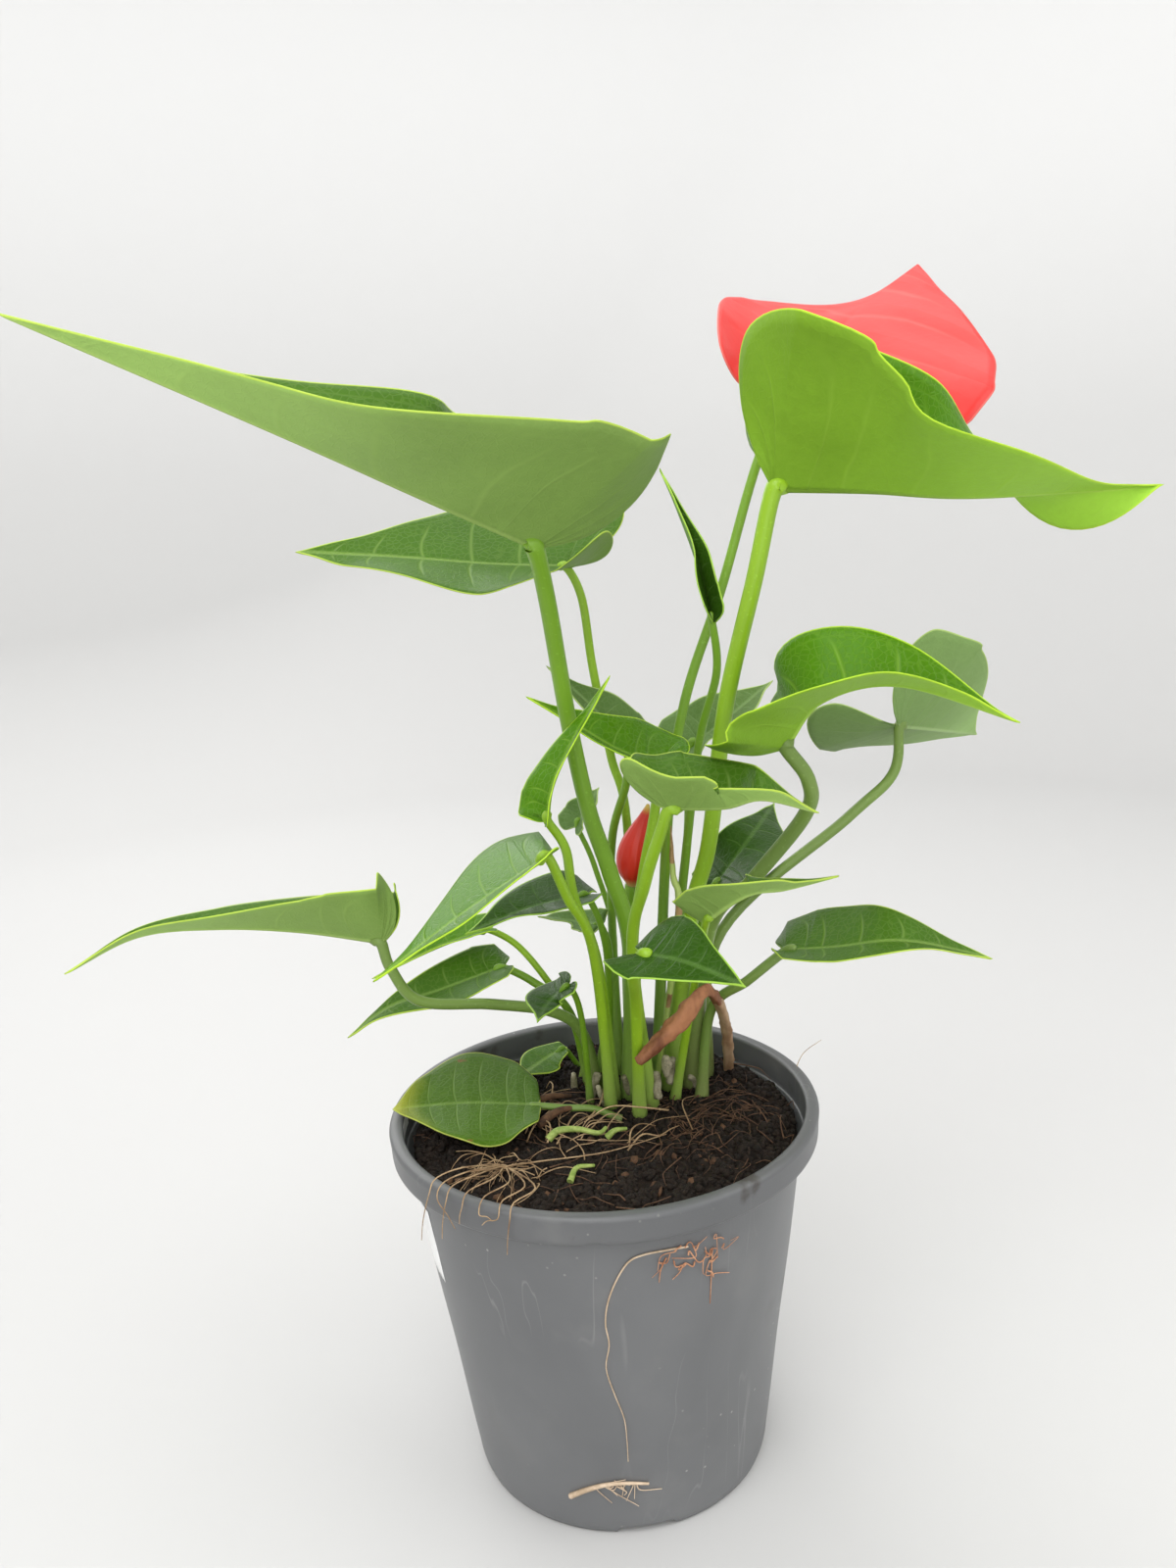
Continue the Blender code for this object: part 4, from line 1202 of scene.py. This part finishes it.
# ----------------------------------------------------------------------- soil
@dataclass
class Soil:
    """The peat, its crumbs and what lies on it."""
    pot: Pot
    level: float = 107.0
    crown: tuple[float, float] = (12.0, 22.0)

    def height(self, x: float, y: float) -> float:
        """The lumpy top of the soil (mm)."""
        away = math.hypot(x - self.crown[0], y - self.crown[1])
        lump = (math.sin(0.31 * x + 1.3) * math.cos(0.27 * y - 0.6)
                + 0.6 * math.sin(0.55 * x - 0.48 * y)) * 0.8
        rough = (1.1 * noise.fractal(Vector((x, y, 3.0)) * 0.22, 1.0, 2.0, 4)
                 + 0.5 * noise.noise(Vector((x, y, 9.0)) * 0.9))
        return self.level + lump * min(1.0, max(0.0, (away - 30) / 10)) + rough

    def build(self) -> None:
        """Make the soil and everything loose on it."""
        piece = Piece("peat_bed")
        rings = []
        radii = list(np.linspace(0, 58.1, 62))
        centre = piece.vert((0, 0, self.height(0, 0)), lip=0.0)
        for r in radii[1:]:
            rings.append([piece.vert((r * math.cos(w), r * math.sin(w),
                                      self.height(r * math.cos(w), r * math.sin(w))
                                      - 0.6 * smooth(r, 54, 58)), lip=0.0)
                                      for w in np.linspace(0, 2 * math.pi, 180, False)])
        for r, z in ((58.1, 103.0), (52.0, 60.0), (43.6, 3.0)):
            rings.append([piece.vert((r * math.cos(w), r * math.sin(w), z), lip=0.0)
                          for w in np.linspace(0, 2 * math.pi, 180, False)])
        under = piece.vert((0, 0, 3.0), lip=0.0)
        for n in range(180):
            m = (n + 1) % 180
            piece.faces.append([centre, rings[0][n], rings[0][m]])
            piece.faces.append([under, rings[-1][m], rings[-1][n]])
            for a, b in zip(rings, rings[1:]):
                piece.faces.append([a[n], b[n], b[m], a[m]])
        bed = piece.build(SOIL.material(), slot="soil_dark", nodes=["soil"])
        self._crumbs("soil_crumbs", bed, CRUMB, 420000.0, 0.00055, 0.00175, 3)
        self._crumbs("bark_crumbs", bed, BARK, 7000.0, 0.0006, 0.0022, 8)
        self._fibres()

    def _crumbs(self, name: str, bed: bpy.types.Object, finish: MatterFinish, density: float, low: float,
                high: float, seed: int) -> None:
        """Scatter crumbs over the top of the bed."""
        top = bpy.data.meshes.new(name + "_top")
        keep = [p for p in bed.data.polygons if p.normal.z > 0.3 and p.center.z > 0.1
                and math.hypot(p.center.x, p.center.y) < 0.0575]
        used = sorted({v for p in keep for v in p.vertices})
        number = {v: i for i, v in enumerate(used)}
        top.from_pydata([bed.data.vertices[v].co for v in used], [],
                        [[number[v] for v in p.vertices] for p in keep])
        source = bpy.data.objects.new(name + "_top", top)
        bpy.context.scene.collection.objects.link(source)
        tree = Scatter(name)
        points = tree.add("GeometryNodeDistributePointsOnFaces", {"distribute_method": "RANDOM"},
                          {"Mesh": tree.given.outputs[0], "Density": tree.size("Density", density),
                           "Seed": tree.size("Seed", seed, "NodeSocketInt")})
        grain = tree.add("GeometryNodeMeshIcoSphere", {}, {"Radius": 1.0, "Subdivisions": 1})
        spin = tree.add("FunctionNodeRandomValue", {"data_type": "FLOAT_VECTOR"},
                        {"Max": (6.28, 6.28, 6.28), "Seed": seed + 1})
        scale = tree.add("FunctionNodeRandomValue", {"data_type": "FLOAT_VECTOR"},
                         {"Min": (low * 0.6,) * 3, "Max": (high,) * 3, "Seed": seed + 2})
        crumbs = tree.add("GeometryNodeInstanceOnPoints", {},
                          {"Points": points.outputs["Points"], "Instance": grain.outputs[0],
                           "Rotation": spin.outputs[0], "Scale": scale.outputs[0]})
        tree.finish(source, crumbs.outputs[0], finish.material(), name, "soil_dark")

    def _wisp(self, rng: random.Random, x: float, y: float, turn: float, length: float,
              lift: float) -> list[Point]:
        """A crooked fibre lying on the soil."""
        out = []
        for k in range(5):
            out.append((x, y, self.height(x, y) + 0.7 + lift * math.sin(math.pi * k / 4)
                        + rng.uniform(0, 0.5)))
            turn += rng.uniform(-0.5, 0.5)
            x += math.cos(turn) * length / 4
            y += math.sin(turn) * length / 4
            if math.hypot(x, y) > 58.5:
                x, y = x * 58.0 / math.hypot(x, y), y * 58.0 / math.hypot(x, y)
        return out

    def _fibres(self) -> None:
        """Straw, dry roots, the tuft over the rim and green fragments."""
        rng = random.Random(4)
        straw, roots = [], []
        for _ in range(34):
            x, y = -12 + rng.gauss(0, 10), -8 + rng.gauss(0, 10)
            straw.append((self._wisp(rng, x, y, rng.gauss(0.9, 0.6), rng.uniform(9, 26),
                                     rng.uniform(0.5, 4)), rng.uniform(0.16, 0.34)))
        for _ in range(110):
            a, r = rng.uniform(0, 2 * math.pi), 57 * math.sqrt(rng.random())
            roots.append((self._wisp(rng, r * math.cos(a), r * math.sin(a), rng.uniform(0, 6.28),
                                     rng.uniform(5, 20), rng.uniform(0, 1.8)), rng.uniform(0.10, 0.26)))
        for _ in range(90):
            x, y = 32 + rng.gauss(0, 12), -4 + rng.gauss(0, 14)
            if math.hypot(x, y) < 57:
                roots.append((self._wisp(rng, x, y, rng.uniform(0, 6.28), rng.uniform(6, 16),
                                         rng.uniform(0, 2.0)), rng.uniform(0.12, 0.24)))
        for _ in range(34):
            x, y = -27 + rng.gauss(0, 4.5), -25 + rng.gauss(0, 6)
            straw.append((self._wisp(rng, x, y, rng.gauss(-2.3, 0.7), rng.uniform(6, 18),
                                     rng.uniform(0.5, 3)), rng.uniform(0.14, 0.26)))
        for turn, drop, sway in ((-137, 19, 4), (-134, 9, -3), (-131, 14, 2), (-126, 7, 1), (-121, 3, -2),
                                 (-113, 12, 1), (-116, 5, 3)):
            over = [(-29, -27, 109.5), self._rim(turn + 3, -9, 3), self._rim(turn, -1.5, 2.0),
                    self._rim(turn, 1.4, -1.5),
                    self._rim(turn - sway, 1.2, -drop * 0.6), self._rim(turn - sway * 1.6, 0.8, -drop)]
            straw.append((over, 0.24))
        straw.append((((-38, -34, 112), (-20, -28, 110.5), (0, -24, 110), (18, -16, 110.2)), 0.3))
        straw.append((((20, 3, 108), (12, -2, 112), (2, -6, 115), (-6, -9, 112)), 0.35))
        straw.append((((26, -12, 109), (24, -2, 113), (29, 10, 109)), 0.22))
        straw.append((((60, 14, 109), (64, 17, 117), (71, 21, 120)), 0.16))
        strands("straw_strands", straw, STRAW, "dead_brown")
        strands("root_strands", roots, ROOT, "dead_brown")
        bits = [((-17, -12, 108.6), (-14, -10.5, 110.5), (-8, -10.8, 110.8), (-2, -13, 110.3),
                 (0.5, -11.5, 111.2)),
                ((0.5, -13.5, 109.0), (3, -13, 110.8), (6.5, -11.5, 110.4)),
                ((-10.5, -36.5, 108.5), (-8.5, -32.5, 110.4), (-3.5, -30.8, 109.8))]
        strands("green_bits", [(b, r) for b, r in zip(bits, (1.25, 1.1, 1.0))], FRAGMENT, "sheath_pale", 12)
        old = [((-20, -5, 110), (-14, -1, 112), (-8, 3, 111)),
               ((-24, 8, 110), (-17, 10, 111.5), (-10, 12, 110.5))]
        strands("dry_leaf_bits", [(b, 1.5) for b in old], BARK, "dead_brown", 9)

    def _rim(self, turn: float, out: float, up: float) -> Point:
        """A point by the rim: outward from its edge, and up from its top."""
        r = self.pot.rim + out
        return (r * math.cos(math.radians(turn)), r * math.sin(math.radians(turn)), self.pot.height + up)


@dataclass
class WallRoots:
    """Roots and a twig stuck to the pot's wall."""
    pot: Pot

    def build(self) -> None:
        """Make the long root, the copper cluster and the twig."""
        def run(points: Sequence[tuple[float, float]], out: float = 0.25) -> list[Point]:
            """Route on the wall through angle and height pairs."""
            return [self.pot.on_wall(t, z, out) for t, z in points]

        strands("long_root", [
            (run([(-70, 98.5), (-76, 99), (-82, 98.8), (-86, 97), (-89.5, 91), (-92, 84), (-93, 77),
                  (-92.4, 70),
                  (-93.8, 62), (-92, 53), (-89.5, 44), (-89, 36), (-89, 28)]), 0.30)], TAN, "dead_brown", 6)
        rng = random.Random(21)
        wisps = []
        for turn, z, way, length in ((-75, 97, -1, 9), (-72, 98, -1, 6), (-70, 96, 1, 8),
                                     (-67, 97.5, -1, 5), (-65, 95, 1, 10),
                                     (-63, 93, -1, 7), (-60, 96, 1, 6), (-61, 91, -1, 8), (-74, 94, 1, 5),
                                     (-68, 93, -1, 9),
                                     (-64, 88, 1, 5), (-59.5, 98, -1, 9), (-71, 100, 1, 4)):
            path = []
            for k in range(5):
                path.append((turn + k * rng.uniform(0.3, 1.9) * way,
                             z + rng.uniform(-1.6, 1.6) - k * rng.uniform(-0.2, length / 6)))
            wisps.append((run(path, rng.uniform(0.3, 0.9)), rng.uniform(0.13, 0.28)))
        wisps.append((run([(-76, 96.5), (-77.5, 93), (-78, 89)]), 0.25))
        wisps.append((run([(-62.7, 95), (-62.6, 86), (-62.6, 77)]), 0.22))
        strands("copper_strands", wisps, COPPER, "dead_brown")
        twig = [(run([(-110, 13.8), (-104, 17.2), (-97, 19.8), (-90, 20.3), (-82.5, 19.2)], 0.7), 0.85)]
        for k in range(12):
            turn, z = -101 + k * 1.3, 18.5 + 0.1 * k
            twig.append((run([(turn, z), (turn + rng.uniform(-1, 3), z + rng.uniform(-3, 2)),
                              (turn + rng.uniform(-3, 9),
                               z + rng.choice((3.4, -6.5, -5, -8)) * rng.uniform(0.5, 1))], 0.6), 0.22))
        strands("twig_strands", twig, TAN, "dead_brown", 6)


# --------------------------------------------------------------------- studio
@dataclass
class Studio:
    """The pale floor, the soft lights and the camera."""
    eye: Point = (0.00105, -0.35884, 0.29370)
    right: Point = (0.99809, -0.01428, -0.06006)
    up: Point = (0.06173, 0.21798, 0.97400)
    ahead: Point = (0.00081, 0.97585, -0.21845)
    lens: float = 29.25
    sensor: float = 36.0
    near: float = 0.01
    flat: float = 0.95        # where the floor starts to rise
    bend: float = 0.35        # radius of its rise to the wall
    wall: float = 1.4         # top of the wall
    sides: int = 96
    air: float = 0.66         # strength of the light from all round
    # name, place, what it points at, width and power of each lamp
    lamps: tuple = (("key", (-0.35, -0.75, 1.15), (0, 0, 0.18), 0.9, 9.5),
                    ("fill", (0.85, -0.35, 0.75), (0, 0, 0.2), 0.8, 3.5),
                    ("front", (0.05, -0.95, 0.30), (0, 0, 0.22), 0.8, 3.5),
                    ("top", (0.1, 0.25, 1.25), (0, 0, 0.1), 1.2, 6.0),
                    ("back", (-0.5, 0.85, 0.7), (0, 0, 0.2), 0.8, 4.0))

    def build(self) -> None:
        """Make the tent, the lights and the camera."""
        profile = [(0.0, 0.0), (0.3, 0.0), (0.7, 0.0), (self.flat, 0.0)]
        profile += [(self.flat + self.bend * math.sin(a), self.bend - self.bend * math.cos(a))
                    for a in np.linspace(0.1, math.pi / 2, 12)]
        profile += [(self.flat + self.bend, 0.8), (self.flat + self.bend, self.wall)]
        piece = Piece("studio_floor")
        rings = []
        for r, z in profile:
            rings.append([piece.vert((r * 1000 * math.cos(w), r * 1000 * math.sin(w), z * 1000))
                          for w in np.linspace(0, 2 * math.pi, self.sides, False)])
        for a, b in zip(rings, rings[1:]):
            for n in range(self.sides):
                m = (n + 1) % self.sides
                piece.faces.append([a[n], b[n], b[m], a[m]])
        mesh = bpy.data.meshes.new("studio_floor")
        mesh.from_pydata([tuple(c * MM for c in v) for v in piece.verts], [], piece.faces)
        mesh.validate()
        mesh.polygons.foreach_set("use_smooth", [True] * len(mesh.polygons))
        floor = bpy.data.objects.new("studio_floor", mesh)
        bpy.context.scene.collection.objects.link(floor)
        g = Graph("studio_white")
        height = g.make("ShaderNodeSeparateXYZ", {}, {0: g.place}, 2)
        # Painted light: the paper is painted darker on the floor and lighter up the wall.
        paper = g.mix(height.step(0.0, 0.9), (0.555, 0.553, 0.546), (0.80, 0.80, 0.795))
        mesh.materials.append(g.surface(paper, 0.6, Specular_IOR_Level=0.2))
        for lamp in self.lamps:
            self._light(*lamp)
        world = bpy.data.worlds.new("studio_air")
        world.use_nodes = True
        world.node_tree.nodes["Background"].inputs["Color"].default_value = (1.0, 1.0, 1.0, 1.0)
        world.node_tree.nodes["Background"].inputs["Strength"].default_value = self.air
        bpy.context.scene.world = world
        bpy.context.scene.view_settings.view_transform = "Standard"
        self._camera()

    @staticmethod
    def _light(name: str, place: Point, aim: Point, size: float, power: float) -> None:
        """Add a soft square light."""
        data = bpy.data.lights.new(name, "AREA")
        data.size, data.energy = size, power
        lamp = bpy.data.objects.new(name, data)
        lamp.location = place
        lamp.rotation_euler = (Vector(aim) - Vector(place)).to_track_quat("-Z", "Y").to_euler()
        bpy.context.scene.collection.objects.link(lamp)

    def _camera(self) -> None:
        """Add the camera."""
        data = bpy.data.cameras.new("camera")
        data.lens, data.sensor_width, data.clip_start = self.lens, self.sensor, self.near
        camera = bpy.data.objects.new("camera", data)
        back = [-c for c in self.ahead]
        turn = Matrix((self.right, self.up, back)).transposed().to_4x4()
        camera.matrix_world = Matrix.Translation(self.eye) @ turn
        bpy.context.scene.collection.objects.link(camera)
        bpy.context.scene.camera = camera


def main() -> None:
    """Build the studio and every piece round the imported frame."""
    logging.basicConfig(level=logging.INFO, format="%(message)s")
    for item in list(bpy.data.objects):
        bpy.data.objects.remove(item)
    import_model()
    Studio().build()
    pot = Pot()
    pot.build()
    Soil(pot).build()
    WallRoots(pot).build()
    Foliage().build()
    Flowers().build()
    OldGrowth().build()


if __name__ == "__main__":
    main()
